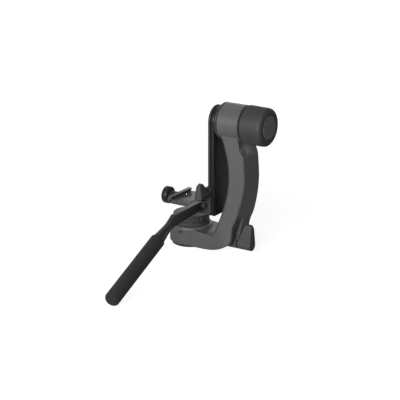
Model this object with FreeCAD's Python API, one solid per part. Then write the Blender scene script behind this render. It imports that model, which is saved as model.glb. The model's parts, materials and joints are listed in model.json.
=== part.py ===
import FreeCAD, Part
import math
import os

# A gimbal head: a pan base, a C-shaped arm turning on it, a tilting slide plate
# hung from the arm's top, and a bracket on that plate with a dovetail clamp and
# a pan handle. Millimetres. The origin is the middle of the base's underside, on
# the pan axis. +Z is up, +X points from the pan axis to the arm and -Y to the user.

V = FreeCAD.Vector
X, Y, Z = V(1, 0, 0), V(0, 1, 0), V(0, 0, 1)

# fits
running_fit = 0.05       # radial clearance of a shaft that turns in its bore
slide_fit = 0.12         # clearance on each face of a slide
knob_gap = 0.4           # gap in front of a knob or dial that turns

# base plate and the tripod thread
base_radius = 31.0
base_thickness = 2.0
base_hub_radius = 16.5
base_hub_height = 6.0
tripod_thread_radius = 3.97      # minor radius of a 3/8 in. coarse thread
tripod_thread_length = 10.0
insert_radius = 6.5
base_screw_radius = 2.0
base_screw_head_radius = 3.4
base_screw_circle = 12.0
base_screw_count = 3
base_screw_length = 14.0

# pan spindle and what runs on it
drum_radius = 17.0
drum_height = 10.0
spindle_radius = 10.0
spindle_thread_radius = 8.0
spindle_thread_length = 7.0
bearing_outer_radius = 15.0
bearing_height = 6.0
thrust_washer_thickness = 0.8
clutch_disc_thickness = 2.0
clutch_disc_radius = 16.5
spring_washer_thickness = 1.6
spindle_nut_radius = 12.0
spindle_nut_height = 5.0

# pan housing, the round foot of the arm
housing_radius = 34.2
housing_top = 33.2
housing_foot_chamfer = 3.2
housing_shoulder_radius = 4.0
housing_floor_gap = 0.3

# pan drag dial on top of the housing
seat_ring_radius = 29.4
seat_ring_height = 5.8
seat_neck_radius = 22.0
seat_neck_height = 6.4
dial_radius = 28.8
dial_height = 10.0
dial_edge_radius = 1.4
dial_notch_count = 12
dial_notch_radius = 1.7
dial_notch_length = 6.0
dial_notch_turn = -57.5
dial_cap_radius = 19.0
dial_cap_thickness = 1.0

# arm, a C standing on the pan housing
arm_half_width = 23.4
arm_foot_half_width = 28.0
arm_flare_low = 50.0      # below this height the arm has its foot's full width
arm_flare_high = 124.0    # above this height it keeps its half width
arm_reach = 82.8         # pan axis to the inside of the C
arm_depth = 28.3         # inside to outside of the C at its widest
arm_foot_top = 27.6
arm_inner_chamfer = 5.0
arm_outer_chamfer = 1.6

# tilt housing, the round head of the arm
tilt_axis_height = 207.3
tilt_housing_radius = 29.3
tilt_housing_start = 60.5
tilt_housing_overhang = 18.4     # its outer end beyond the inside of the C
tilt_housing_chamfer = 1.2
tilt_ring_thickness = 4.4
tilt_ring_relief = 0.5
tilt_shaft_radius = 8.0
tilt_thread_radius = 6.0
tilt_thread_length = 24.0
tilt_bearing_radius = 16.0
tilt_bearing_width = 9.0
tilt_friction_radius = 22.0
tilt_friction_thickness = 1.6
tilt_friction_bore = 9.0

# tilt tension knob
tilt_knob_radius = 30.2
tilt_knob_face_radius = 29.7
tilt_knob_length = 38.8
tilt_knob_edge_radius = 7.0
tilt_knob_rib_count = 90
tilt_knob_rib_depth = 0.45
tilt_knob_wall = 4.5
tilt_knob_hub_radius = 15.0
tilt_knob_insert_radius = 10.0
tilt_knob_insert_length = 15.0
tilt_knob_cavity_depth = 29.0
knob_disc_radius = 18.8
knob_disc_thickness = 1.6
knob_disc_groove = 1.1

# slide plate: an outer plate and the dovetail rail screwed to it
plate_half_width = 23.4
rail_face = 46.2
rail_flange_thickness = 3.1
rail_neck_thickness = 2.8
rail_neck_half_width = 19.5
plate_thickness = 4.7
plate_bottom = 57.0
plate_corner_chamfer = 3.0
plate_edge_chamfer = 0.6
flange_radius = 22.8
flange_screw_circle = 14.5
flange_screw_radius = 2.0
flange_screw_count = 4
flange_screw_length = 13.0
rail_screw_radius = 1.6
rail_screw_head_radius = 3.0
rail_screw_count = 3
rail_screw_spacing = 42.0
rail_screw_low = 30.0
rail_screw_length = 9.0
stop_pin_radius = 1.6
stop_pin_proud = 2.6
stop_gap = 0.3

# slide bracket: the leg that rides on the rail, and its foot
leg_bottom = 61.0
leg_over_lock = 8.6       # above the slide lock's axis
slide_travel = 100.0
leg_wall = 3.0           # in front of and behind the rail
leg_back = 5.0           # between the rail and the pan axis
leg_edge_chamfer = 0.8
foot_length = 14.0
foot_drop = 0.6
gib_height = 14.0
gib_thickness = 2.0
gib_width = 3.0
gib_gap = 0.25

# slide lock, a wing knob on the front of the leg
slide_lock_over_handle = 17.9    # above the handle's bolt
slide_lock_hub_radius = 6.6
slide_lock_hub_length = 26.4
slide_lock_wing_height = 21.3
slide_lock_wing_half_top = 2.6
slide_lock_screw_radius = 3.0

# dovetail clamp
clamp_half_length = 29.5
clamp_floor = 73.0
clamp_thickness = 5.7
clamp_rib_depth = 5.0
clamp_rib_half_width = 12.0
clamp_body_end = -19.0   # end of the body that faces the moving jaw
jaw_height = 5.0         # lip's top above the floor
dovetail_half_width = 19.3
lip_half_gap = 17.4
lip_nose = 1.0
jaw_wall = 6.3
jaw_skirt = 3.7
clamp_screw_height = 69.8
clamp_screw_radius = 2.5
clamp_screw_end = -3.0
clamp_bore_end = 4.0
clamp_slide = 5.0        # travel of the moving jaw
guide_pin_radius = 2.0
guide_pin_spacing = 40.0
guide_pin_length = 15.0
guide_bore_depth = 18.0
guide_pin_height = 70.1
clamp_knob_radius = 13.6
clamp_knob_length = 10.6
clamp_knob_rib_count = 40
clamp_knob_rib_depth = 0.6
clamp_knob_edge = 1.5
clamp_collar_radius = 7.6
clamp_collar_length = 13.1
floor_screw_radius = 2.3
floor_screw_x = -14.8
floor_screw_y = 8.8
floor_screw_depth = 5.0
foot_screw_radius = 2.0
foot_screw_head_radius = 3.4
foot_screw_spacing = 30.0
foot_screw_length = 11.0

# pan lock, a wing knob on the arm's outer lower corner
pan_lock_height = 13.2
pan_lock_boss_radius = 8.6
pan_lock_boss_proud = 4.8        # its face beyond the inside of the C
pan_lock_hub_length = 25.6
pan_lock_wing_height = 33.0
pan_lock_wing_half_top = 3.4
pan_lock_screw_radius = 3.0
brake_shoe_radius = 5.0
brake_shoe_length = 6.0
brake_shoe_gap = 0.3

# pan handle
handle_x = 41.8
handle_y = -35.2
handle_z = 76.9
handle_yaw = 3.8
handle_slope = 20.7
handle_eye_radius = 5.5
handle_thickness = 7.0
handle_bend_distance = 88.0
handle_bend_half_height = 8.9
handle_waist_distance = 14.0
handle_waist_half_height = 5.8
handle_flare_length = 34.0
handle_end_radius = 9.4
handle_tenon_radius = 5.5
handle_tenon_length = 70.0
grip_radius = 11.3
grip_length = 142.5
grip_shoulder_radius = 3.0
grip_end_radius = 5.0
lug_thickness = 8.0
lug_radius = 6.4
handle_bolt_radius = 2.5
handle_bolt_head_radius = 4.2
handle_bolt_head_height = 2.2

# set screws on the pan housing
set_screw_radius = 2.5
set_screw_length = 6.0
set_screw_height = 25.7
set_screw_turns = (-86.5, 120.0)


# sizes that follow from the ones above
base_hub_top = base_thickness + base_hub_height
drum_top = base_hub_top + drum_height
housing_bottom = base_thickness + housing_floor_gap
lower_bearing_floor = drum_top + thrust_washer_thickness
upper_bearing_top = housing_top
seat_ring_top = housing_top + seat_ring_height
dial_bottom = seat_ring_top + knob_gap / 2
dial_top = dial_bottom + dial_height
clutch_floor = housing_top
spring_floor = clutch_floor + clutch_disc_thickness
nut_floor = spring_floor + spring_washer_thickness
tilt_housing_end = arm_reach + tilt_housing_overhang
tilt_housing_length = tilt_housing_end - tilt_housing_start
pan_lock_boss_end = arm_reach + pan_lock_boss_proud
slide_lock_height = handle_z + slide_lock_over_handle
knob_start = tilt_housing_end + 3.5 * knob_gap
knob_end = knob_start + tilt_knob_length
rail_neck_start = rail_face + rail_flange_thickness
plate_start = rail_neck_start + rail_neck_thickness
plate_end = plate_start + plate_thickness
leg_face = rail_face - slide_fit - leg_back
leg_end = plate_start - slide_fit
leg_half_width = plate_half_width + slide_fit + leg_wall
leg_top = slide_lock_height + leg_over_lock
foot_start = leg_face - foot_length
foot_bottom = leg_bottom - foot_drop
clamp_bottom = clamp_floor - clamp_thickness
clamp_top = clamp_floor + jaw_height
foot_top = clamp_bottom
slide_lock_x = (rail_face + rail_neck_start) / 2 - 0.85
jaw_outer = -(dovetail_half_width + jaw_wall)
knob_face = jaw_outer - clamp_collar_length
far_bearing_start = tilt_housing_end - tilt_friction_thickness - tilt_bearing_width
friction_start = tilt_housing_end - tilt_friction_thickness


def cylinder(radius, start, length, axis):
    return Part.makeCylinder(radius, length, start, axis)


def ring(outer, inner, start, length, axis):
    return cylinder(outer, start, length, axis).cut(cylinder(inner, start, length, axis))


def box(low, high):
    return Part.makeBox(high.x - low.x, high.y - low.y, high.z - low.z, low)


def polygon(points):
    return Part.makePolygon(list(points) + [points[0]])


def prism(points, along):
    return Part.Face(polygon(points)).extrude(along)


def lathe(profile, base, axis):
    """Turns (distance along the axis, radius) points round the axis through base."""
    side = Y if abs(axis.dot(Y)) < 0.5 else Z
    points = [base + axis * along + side * radius for along, radius in profile]
    return Part.Face(polygon(points)).revolve(base, axis, 360)


def fuse(shapes):
    return shapes[0].multiFuse(list(shapes[1:])).removeSplitter()


def around(shape, base, axis, count, start=0.0):
    """Copies of a shape, evenly spaced round an axis."""
    copies = []
    for index in range(count):
        copy = shape.copy()
        copy.rotate(base, axis, start + index * 360.0 / count)
        copies.append(copy)
    return copies


def ribbed_prism(radius, depth, count, start, length):
    """A round bar along +X with V ribs on its side, to trim a turned knob."""
    points = []
    for index in range(2 * count):
        angle = math.pi * index / count
        reach = radius if index % 2 == 0 else radius - depth
        points.append(start + V(0, reach * math.cos(angle), reach * math.sin(angle)))
    return prism(points, X * length)


def socket_screw(head_radius, head_height, shank_radius, length, top, axis):
    """A socket-head screw; top is the middle of its head, and axis points out of it."""
    down = axis * -1
    head = cylinder(head_radius, top, head_height, down)
    shank = cylinder(shank_radius, top + down * head_height, length - head_height, down)
    side = Y if abs(axis.dot(Y)) < 0.5 else Z
    corner = (top + side * head_radius * 0.55)
    corners = []
    for index in range(6):
        corner_copy = Part.Vertex(corner)
        corner_copy.rotate(top, axis, 60 * index)
        corners.append(corner_copy.Point)
    return fuse([head, shank]).cut(prism(corners, down * head_height * 0.6))


def save(name, shape):
    solids = shape.Solids
    result = solids[0] if len(solids) == 1 else Part.makeCompound(solids)
    result.exportStep(f"parts/{name}.step")
    print(name, len(solids), round(result.Volume / 1000, 2), "cm3", result.isValid())


def base_screw_places():
    start = V(base_screw_circle, 0, 0)
    vertices = around(Part.Vertex(start), V(0, 0, 0), Z, base_screw_count, 30)
    return [vertex.Point for vertex in vertices]


def make_base_plate():
    plate = cylinder(base_radius, V(0, 0, 0), base_thickness, Z)
    rim = [edge for edge in plate.Edges if edge.BoundBox.ZLength < 0.01]
    plate = plate.makeChamfer(base_thickness * 0.2, rim)
    hub = cylinder(base_hub_radius, V(0, 0, 0), base_hub_top, Z)
    body = fuse([plate, hub])
    body = body.cut(cylinder(insert_radius, V(0, 0, 0), base_hub_top, Z))
    for place in base_screw_places():
        body = body.cut(cylinder(base_screw_head_radius, place, 4.0, Z))
        body = body.cut(cylinder(base_screw_radius, place, base_hub_top, Z))
    return body


def make_thread_insert():
    return ring(insert_radius, tripod_thread_radius, V(0, 0, 0), tripod_thread_length, Z)


def make_base_screws():
    screws = []
    for place in base_screw_places():
        top = place + Z * 0.6
        screws.append(socket_screw(base_screw_head_radius, 3.4, base_screw_radius,
                                   base_screw_length, top, Z * -1))
    return Part.makeCompound(screws)


def make_pan_spindle():
    thread_start = nut_floor
    drum = cylinder(drum_radius, V(0, 0, base_hub_top), drum_height, Z)
    shaft = cylinder(spindle_radius, V(0, 0, drum_top), thread_start - drum_top, Z)
    thread = cylinder(spindle_thread_radius, V(0, 0, thread_start), spindle_thread_length, Z)
    body = fuse([drum, shaft, thread])
    relief = tripod_thread_length - base_hub_top
    body = body.cut(cylinder(insert_radius, V(0, 0, base_hub_top), relief, Z))
    for place in base_screw_places():
        body = body.cut(cylinder(base_screw_radius, place, 14.6, Z))
    return body


def make_thrust_washer():
    inner = spindle_radius + running_fit
    return ring(bearing_outer_radius - 1, inner, V(0, 0, drum_top), thrust_washer_thickness, Z)


def make_ring_bearing(outer, inner, start, width, axis):
    """A shielded bearing as one ring, with a groove on each side for its shields."""
    body = ring(outer, inner, start, width, axis)
    shield_outer = outer - (outer - inner) * 0.28
    shield_inner = inner + (outer - inner) * 0.28
    near = ring(shield_outer, shield_inner, start, 0.4, axis)
    far = ring(shield_outer, shield_inner, start + axis * (width - 0.4), 0.4, axis)
    return body.cut(near).cut(far)


def make_pan_bearings():
    inner = spindle_radius + running_fit
    lower = V(0, 0, lower_bearing_floor)
    upper = V(0, 0, upper_bearing_top - bearing_height)
    return [make_ring_bearing(bearing_outer_radius, inner, low, bearing_height, Z) for low in (lower, upper)]


def make_clutch_disc():
    inner = spindle_radius + running_fit
    return ring(clutch_disc_radius, inner, V(0, 0, clutch_floor), clutch_disc_thickness, Z)


def make_spring_washers():
    half = spring_washer_thickness / 2
    inner = spindle_radius
    reach = spindle_nut_radius + 2
    profile = [(0, inner), (0.3, reach), (half, reach), (half - 0.3, inner)]
    lower = lathe(profile, V(0, 0, spring_floor), Z)
    upper = lathe([(half * 2 - along, radius) for along, radius in profile], V(0, 0, spring_floor), Z)
    return Part.makeCompound([lower, upper])


def make_spindle_nut():
    low = V(0, 0, nut_floor)
    body = ring(spindle_nut_radius, spindle_thread_radius, low, spindle_nut_height, Z)
    slot = box(V(-spindle_nut_radius, -1.2, nut_floor + 2.8),
               V(spindle_nut_radius, 1.2, nut_floor + spindle_nut_height))
    return body.cut(slot)


def arm_height(share):
    """A height on the arm: 0 is the top of its foot and 1 the tilt axis."""
    return arm_foot_top + share * (tilt_axis_height - arm_foot_top)


def arm_inside():
    """The inside of the C from the foot up, through its fillet and its long arc."""
    neck = arm_reach - tilt_housing_start
    stations = [(neck * 1.64, 0.0), (neck * 1.25, 0.018), (neck * 0.94, 0.083), (neck * 0.60, 0.186),
                (neck * 0.29, 0.329), (neck * 0.125, 0.530), (neck * 0.21, 0.665), (neck * 0.42, 0.774),
                (neck * 0.66, 0.860), (neck * 1.0, 0.920)]
    return [(arm_reach - short, arm_height(share)) for short, share in stations]


def arm_outer():
    """The outside of the C from the head down, with the scoop under the big knob."""
    edge = arm_reach + arm_depth
    upper = [(arm_depth * 0.415, 0.930), (arm_depth * 0.39, 0.850), (arm_depth * 0.145, 0.765),
             (arm_depth * 0.045, 0.665), (0.0, 0.530), (arm_depth * 0.055, 0.420),
             (arm_depth * 0.228, 0.292), (arm_depth * 0.44, 0.180), (arm_depth * 0.695, 0.069)]
    lower = [(arm_depth * 0.80, 0.78), (arm_depth * 1.255, 0.37), (arm_depth * 1.78, 0.16),
             (arm_depth * 2.145, 0.088)]
    points = [(edge - short, arm_height(share)) for short, share in upper]
    return points + [(edge - short, arm_foot_top * part) for short, part in lower]


def spline(points):
    curve = Part.BSplineCurve()
    curve.interpolate([V(x, 0, z) for x, z in points])
    return curve.toShape()


def line(first, second):
    return Part.makeLine(V(first[0], 0, first[1]), V(second[0], 0, second[1]))


def arm_profile():
    """The closed outline of the arm in the XZ plane, as a face."""
    inner = arm_inside()
    outer = arm_outer()
    bottom = outer[-1][1]
    edges = [line((0, bottom), (0, housing_top - 1)), line((0, housing_top - 1), inner[0]),
             spline(inner), line(inner[-1], outer[0]), spline(outer), line(outer[-1], (0, bottom))]
    return Part.Face(Part.Wire(edges))


def make_arm_front():
    """The arm seen along X, wide at the foot and narrower from the middle up, as a prism."""
    wide = arm_foot_half_width
    reach = (arm_flare_high - arm_flare_low) * 0.34
    bend = Part.BezierCurve()
    bend.setPoles([V(0, wide, arm_flare_low), V(0, wide, arm_flare_low + reach),
                   V(0, arm_half_width, arm_flare_high - reach), V(0, arm_half_width, arm_flare_high)])
    corners = [V(0, arm_half_width, arm_flare_high), V(0, arm_half_width, tilt_axis_height),
               V(0, 0, tilt_axis_height), V(0, 0, 0), V(0, wide, 0), V(0, wide, arm_flare_low)]
    edges = [bend.toShape()] + [Part.makeLine(first, second) for first, second in zip(corners, corners[1:])]
    half = Part.Face(Part.Wire(edges)).extrude(X * (arm_reach + arm_depth + 1))
    other = half.mirror(V(0, 0, 0), Y)
    return half.fuse(other).removeSplitter()


def make_arm_bow():
    """The C with its four long edges broken."""
    face = arm_profile()
    face.translate(V(0, -arm_foot_half_width - 1, 0))
    body = face.extrude(Y * (2 * arm_foot_half_width + 2)).common(make_arm_front())
    for chamfer, inside in ((arm_inner_chamfer, True), (arm_outer_chamfer, False)):
        body = body.makeChamfer(chamfer, arm_long_edges(body, inside))
    return body


def arm_long_edges(body, inside):
    """The long curved edges on the inside or the outside of the C."""
    found = []
    for edge in body.Edges:
        bounds = edge.BoundBox
        middle = edge.valueAt((edge.FirstParameter + edge.LastParameter) / 2)
        is_side = abs(middle.y) > arm_half_width - 1 and bounds.YMin * bounds.YMax > 0
        middle_x = arm_reach + arm_depth * 0.43 - max(0, arm_flare_high - middle.z) * 0.18
        if bounds.XLength > 3 and bounds.ZLength > 15 and is_side and (middle.x < middle_x) == inside:
            found.append(edge)
    return found


def make_pan_housing():
    body = cylinder(housing_radius, V(0, 0, housing_bottom), housing_top - housing_bottom, Z)
    top = [edge for edge in body.Edges if edge.BoundBox.ZMin > housing_top - 0.01]
    body = body.makeFillet(housing_shoulder_radius, top)
    foot = [edge for edge in body.Edges if edge.BoundBox.ZMax < housing_bottom + 0.01]
    return body.makeChamfer(housing_foot_chamfer, foot)


def make_tilt_housing():
    start = V(tilt_housing_start + tilt_ring_thickness, 0, tilt_axis_height)
    body = cylinder(tilt_housing_radius, start, tilt_housing_length - tilt_ring_thickness, X)
    outer_end = [edge for edge in body.Edges if edge.BoundBox.XMin > start.x + 1]
    return body.makeChamfer(tilt_housing_chamfer, outer_end)


def cut_pan_seats(body):
    """The drum's hollow, the two bearing seats and the way through between them."""
    body = body.cut(cylinder(drum_radius + 0.4, V(0, 0, 0), drum_top + 0.2, Z))
    lower = bearing_height + thrust_washer_thickness
    body = body.cut(cylinder(bearing_outer_radius, V(0, 0, drum_top), lower, Z))
    body = body.cut(cylinder(spindle_radius + 2, V(0, 0, drum_top), housing_top, Z))
    return body.cut(cylinder(bearing_outer_radius, V(0, 0, upper_bearing_top - bearing_height), 20, Z))


def cut_tilt_seats(body):
    """The bearing seats, the shaft's way and the recess for the friction disc."""
    start = V(tilt_housing_start, 0, tilt_axis_height)
    body = body.cut(cylinder(tilt_shaft_radius + 3, start, tilt_housing_length * 1.5, X))
    body = body.cut(cylinder(tilt_bearing_radius, start, tilt_ring_thickness + tilt_bearing_width, X))
    body = body.cut(cylinder(tilt_bearing_radius, V(far_bearing_start, 0, tilt_axis_height), tilt_housing_length, X))
    return body.cut(cylinder(tilt_friction_radius, V(friction_start, 0, tilt_axis_height), tilt_housing_length, X))


def set_screw_starts():
    starts = []
    for turn in set_screw_turns:
        out = V(math.cos(math.radians(turn)), math.sin(math.radians(turn)), 0)
        starts.append((out * (housing_radius - set_screw_length - 0.6) + Z * set_screw_height, out))
    return starts


def make_arm():
    boss = cylinder(pan_lock_boss_radius, V(arm_reach - 24, 0, pan_lock_height),
                    pan_lock_boss_end - arm_reach + 24, X)
    ring_way = cylinder(tilt_housing_radius, V(tilt_housing_start - 10, 0, tilt_axis_height),
                        10 + tilt_ring_thickness, X)
    body = fuse([make_arm_bow().cut(ring_way), make_pan_housing(), make_tilt_housing(), boss])
    body = cut_tilt_seats(cut_pan_seats(body))
    spot_face = V(pan_lock_boss_end, 0, pan_lock_height)
    body = body.cut(cylinder(pan_lock_boss_radius + 0.8, spot_face, 20, X))
    lock_start = V(0, 0, pan_lock_height)
    body = body.cut(cylinder(pan_lock_screw_radius + running_fit, lock_start, pan_lock_boss_end * 2, X))
    body = body.cut(cylinder(brake_shoe_radius, lock_start, drum_radius + brake_shoe_length + 2, X))
    for start, out in set_screw_starts():
        body = body.cut(cylinder(set_screw_radius, start, 20, out))
    return body


def make_brake_shoe():
    low = drum_radius + brake_shoe_gap
    body = cylinder(brake_shoe_radius, V(low - 1.5, 0, pan_lock_height), brake_shoe_length + 1.5, X)
    return body.cut(cylinder(low, V(0, 0, 0), housing_top, Z))


def make_set_screws():
    screws = []
    for start, out in set_screw_starts():
        screw = cylinder(set_screw_radius, start, set_screw_length, out)
        side = Z.cross(out)
        tip = start + out * set_screw_length
        corners = around(Part.Vertex(tip + side * set_screw_radius * 0.55), tip, out, 6)
        screws.append(screw.cut(prism([corner.Point for corner in corners], out * -2.0)))
    return Part.makeCompound(screws)


def make_dial_seat_ring():
    inner = clutch_disc_radius + 0.5
    foot = ring(seat_ring_radius, inner, V(0, 0, housing_top), seat_ring_height, Z)
    upper = [edge for edge in foot.Edges if edge.BoundBox.ZMin > seat_ring_top - 0.01
             and edge.BoundBox.XLength > 2 * seat_ring_radius - 1]
    foot = foot.makeFillet(1.0, upper)
    neck = ring(seat_neck_radius, inner, V(0, 0, seat_ring_top), seat_neck_height, Z)
    return fuse([foot, neck])


def make_pan_dial():
    low = V(0, 0, dial_bottom)
    body = cylinder(dial_radius, low, dial_height, Z)
    rims = [edge for edge in body.Edges if edge.BoundBox.ZLength < 0.01]
    body = body.makeFillet(dial_edge_radius, rims)
    body = body.cut(cylinder(seat_neck_radius + running_fit, low, seat_neck_height + 0.6, Z))
    notch_low = V(dial_radius + 0.6, 0, dial_bottom + dial_height - 1.6 - dial_notch_length)
    notch = cylinder(dial_notch_radius, notch_low, dial_notch_length, Z)
    for copy in around(notch, V(0, 0, 0), Z, dial_notch_count, dial_notch_turn):
        body = body.cut(copy)
    return body.cut(cylinder(dial_cap_radius, V(0, 0, dial_top - dial_cap_thickness), 5, Z))


def make_pan_dial_cap():
    cap = cylinder(dial_cap_radius, V(0, 0, dial_top - dial_cap_thickness), dial_cap_thickness, Z)
    return cap.makeChamfer(0.3, [edge for edge in cap.Edges if edge.BoundBox.ZMin > dial_top - 0.01])


def make_tilt_bearings():
    inner = tilt_shaft_radius + running_fit
    bearings = []
    for start in (tilt_housing_start + tilt_ring_thickness, far_bearing_start):
        place = V(start, 0, tilt_axis_height)
        bearings.append(make_ring_bearing(tilt_bearing_radius, inner, place, tilt_bearing_width, X))
    return Part.makeCompound(bearings)


def make_bearing_spacer():
    start = tilt_housing_start + tilt_ring_thickness + tilt_bearing_width
    place = V(start, 0, tilt_axis_height)
    inner = tilt_shaft_radius + 0.6
    return ring(tilt_shaft_radius + 2.6, inner, place, far_bearing_start - start, X)


def make_tilt_end_ring():
    place = V(tilt_housing_start, 0, tilt_axis_height)
    body = ring(tilt_housing_radius, tilt_shaft_radius + 1.5, place, tilt_ring_thickness, X)
    outer = [edge for edge in body.Edges if edge.BoundBox.XMax < tilt_housing_start + 0.01
             and edge.BoundBox.YLength > 2 * tilt_housing_radius - 1]
    body = body.makeChamfer(0.8, outer)
    groove_start = V(tilt_housing_start + tilt_ring_thickness - tilt_ring_relief, 0, tilt_axis_height)
    groove = ring(tilt_housing_radius + 1, tilt_housing_radius - 0.6, groove_start, tilt_ring_relief, X)
    return body.cut(groove)


def make_friction_disc():
    place = V(friction_start, 0, tilt_axis_height)
    return ring(tilt_friction_radius, tilt_friction_bore, place, tilt_friction_thickness, X)


def wing_knob(hub_radius, hub_length, half_top, height, profile):
    """A knob on +X from the origin: a round hub and a tapering wing standing up from it."""
    hub = cylinder(hub_radius, V(0, 0, 0), hub_length, X)
    hub = hub.makeFillet(1.4, [edge for edge in hub.Edges if edge.BoundBox.XLength < 0.01])
    seen_along = [V(0, -hub_radius * 0.97, hub_radius * 0.2), V(0, -half_top, height), V(0, half_top, height),
                  V(0, hub_radius * 0.97, hub_radius * 0.2)]
    taper = prism(seen_along, X * hub_length)
    side = prism([V(hub_length * along, -hub_radius, height * up) for along, up in profile],
                 Y * (2 * hub_radius))
    wing = taper.common(side)
    wing = wing.makeFillet(half_top * 0.35, [edge for edge in wing.Edges
                                             if edge.BoundBox.ZMin > height * 0.6])
    return fuse([hub, wing])


def make_pan_lock_knob():
    profile = [(0.15, 0.06), (0.15, 0.25), (0.47, 0.92), (0.61, 1.0), (0.90, 1.0), (0.99, 0.86), (0.99, 0.06)]
    body = wing_knob(pan_lock_boss_radius, pan_lock_hub_length, pan_lock_wing_half_top,
                     pan_lock_wing_height, profile)
    body = body.cut(cylinder(pan_lock_screw_radius, V(0, 0, 0), pan_lock_hub_length - 6, X))
    body.translate(V(pan_lock_boss_end + knob_gap, 0, pan_lock_height))
    return body


def make_pan_lock_screw():
    start = drum_radius + brake_shoe_gap + brake_shoe_length
    end = pan_lock_boss_end + knob_gap + pan_lock_hub_length - 6
    return cylinder(pan_lock_screw_radius, V(start, 0, pan_lock_height), end - start, X)


def make_tilt_shaft():
    shaft = cylinder(tilt_shaft_radius, V(plate_end, 0, tilt_axis_height), tilt_housing_end - plate_end, X)
    thread = cylinder(tilt_thread_radius, V(tilt_housing_end, 0, tilt_axis_height), tilt_thread_length, X)
    return fuse([shaft, thread])


def make_knob_washer():
    place = V(tilt_housing_end, 0, tilt_axis_height)
    return ring(tilt_knob_hub_radius + 4, tilt_thread_radius, place, knob_start - tilt_housing_end, X)


def make_tilt_flange():
    place = V(plate_end, 0, tilt_axis_height)
    length = tilt_housing_start - 0.3 - plate_end
    body = ring(flange_radius, tilt_shaft_radius, place, length, X)
    for screw_place in flange_screw_places():
        body = body.cut(cylinder(flange_screw_radius, V(plate_end, screw_place.y, screw_place.z), 5.0, X))
    return body


def flange_screw_places():
    start = V(rail_face, flange_screw_circle, tilt_axis_height)
    vertices = around(Part.Vertex(start), V(rail_face, 0, tilt_axis_height), X, flange_screw_count, 45)
    return [vertex.Point for vertex in vertices]


def rail_screw_places():
    return [V(rail_face, 0, plate_bottom + rail_screw_low + index * rail_screw_spacing)
            for index in range(rail_screw_count)]


def stop_pin_places():
    low = foot_bottom - stop_gap - stop_pin_radius
    high = leg_top + slide_travel + stop_gap + stop_pin_radius
    return [V(rail_face, 0, low), V(rail_face, 0, high)]


def slab(half_width, start, length, chamfer):
    """An upright plate with a round top about the tilt axis, corners broken below."""
    y = half_width
    points = [V(start, -y, tilt_axis_height), V(start, -y, plate_bottom + chamfer),
              V(start, -y + chamfer, plate_bottom), V(start, y - chamfer, plate_bottom),
              V(start, y, plate_bottom + chamfer), V(start, y, tilt_axis_height)]
    arc = Part.Arc(points[-1], V(start, 0, tilt_axis_height + y), points[0]).toShape()
    edges = [Part.makeLine(first, second) for first, second in zip(points, points[1:])]
    return Part.Face(Part.Wire(edges + [arc])).extrude(X * length)


def cut_plate_holes(body):
    for place in flange_screw_places() + rail_screw_places():
        body = body.cut(cylinder(flange_screw_radius, place, plate_end - rail_face, X))
        body = body.cut(cylinder(rail_screw_head_radius, place, 2.0, X))
    return body


def make_slide_rail():
    flange = slab(plate_half_width, rail_face, rail_flange_thickness, plate_corner_chamfer)
    neck = slab(rail_neck_half_width, rail_neck_start, rail_neck_thickness, plate_corner_chamfer)
    body = cut_plate_holes(fuse([flange, neck]))
    for place in stop_pin_places():
        body = body.cut(cylinder(stop_pin_radius, place, rail_flange_thickness, X))
    return body


def make_swing_plate():
    body = slab(plate_half_width, plate_start, plate_thickness, plate_corner_chamfer)
    outer = [edge for edge in body.Edges if edge.BoundBox.XMin > plate_end - 0.01]
    return cut_plate_holes(body.makeChamfer(plate_edge_chamfer, outer))


def make_plate_screws(places, length):
    top = X * 0.2
    return Part.makeCompound([socket_screw(rail_screw_head_radius, 1.8, flange_screw_radius, length,
                                           place + top, X * -1) for place in places])


def make_stop_pins():
    length = stop_pin_proud + rail_flange_thickness
    return Part.makeCompound([cylinder(stop_pin_radius, place - X * stop_pin_proud, length, X)
                              for place in stop_pin_places()])


def make_tilt_knob():
    start = V(knob_start, 0, tilt_axis_height)
    outline = [V(knob_start, 0, 0), V(knob_start, 0, tilt_knob_radius),
               V(knob_end - tilt_knob_edge_radius * 0.8, 0, tilt_knob_face_radius),
               V(knob_end - tilt_knob_edge_radius * 0.22, 0, tilt_knob_face_radius - tilt_knob_edge_radius * 0.4),
               V(knob_end, 0, tilt_knob_face_radius - tilt_knob_edge_radius * 1.1), V(knob_end, 0, 0)]
    shoulder = Part.Arc(outline[2], outline[3], outline[4]).toShape()
    edges = [Part.makeLine(outline[0], outline[1]), Part.makeLine(outline[1], outline[2]), shoulder,
             Part.makeLine(outline[4], outline[5]), Part.makeLine(outline[5], outline[0])]
    turned = Part.Face(Part.Wire(edges)).revolve(V(0, 0, 0), X, 360)
    turned.translate(V(0, 0, tilt_axis_height))
    ribs = ribbed_prism(tilt_knob_radius, tilt_knob_rib_depth, tilt_knob_rib_count, start,
                        tilt_knob_length + 1)
    body = turned.common(ribs)
    body = body.cut(ring(tilt_knob_face_radius - tilt_knob_wall, tilt_knob_hub_radius, start,
                         tilt_knob_cavity_depth, X))
    body = body.cut(cylinder(tilt_thread_radius + 0.5, start, tilt_thread_length, X))
    body = body.cut(cylinder(tilt_knob_insert_radius, start, tilt_knob_insert_length, X))
    face = V(knob_end - knob_disc_thickness, 0, tilt_axis_height)
    return body.cut(cylinder(knob_disc_radius + knob_disc_groove, face, 10, X))


def make_tilt_knob_insert():
    place = V(knob_start, 0, tilt_axis_height)
    inner = tilt_thread_radius + running_fit
    return ring(tilt_knob_insert_radius, inner, place, tilt_knob_insert_length, X)


def make_tilt_knob_disc():
    place = V(knob_end - knob_disc_thickness, 0, tilt_axis_height)
    disc = cylinder(knob_disc_radius, place, knob_disc_thickness, X)
    return disc.makeChamfer(0.4, [edge for edge in disc.Edges if edge.BoundBox.XMin > knob_end - 0.01])


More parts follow.
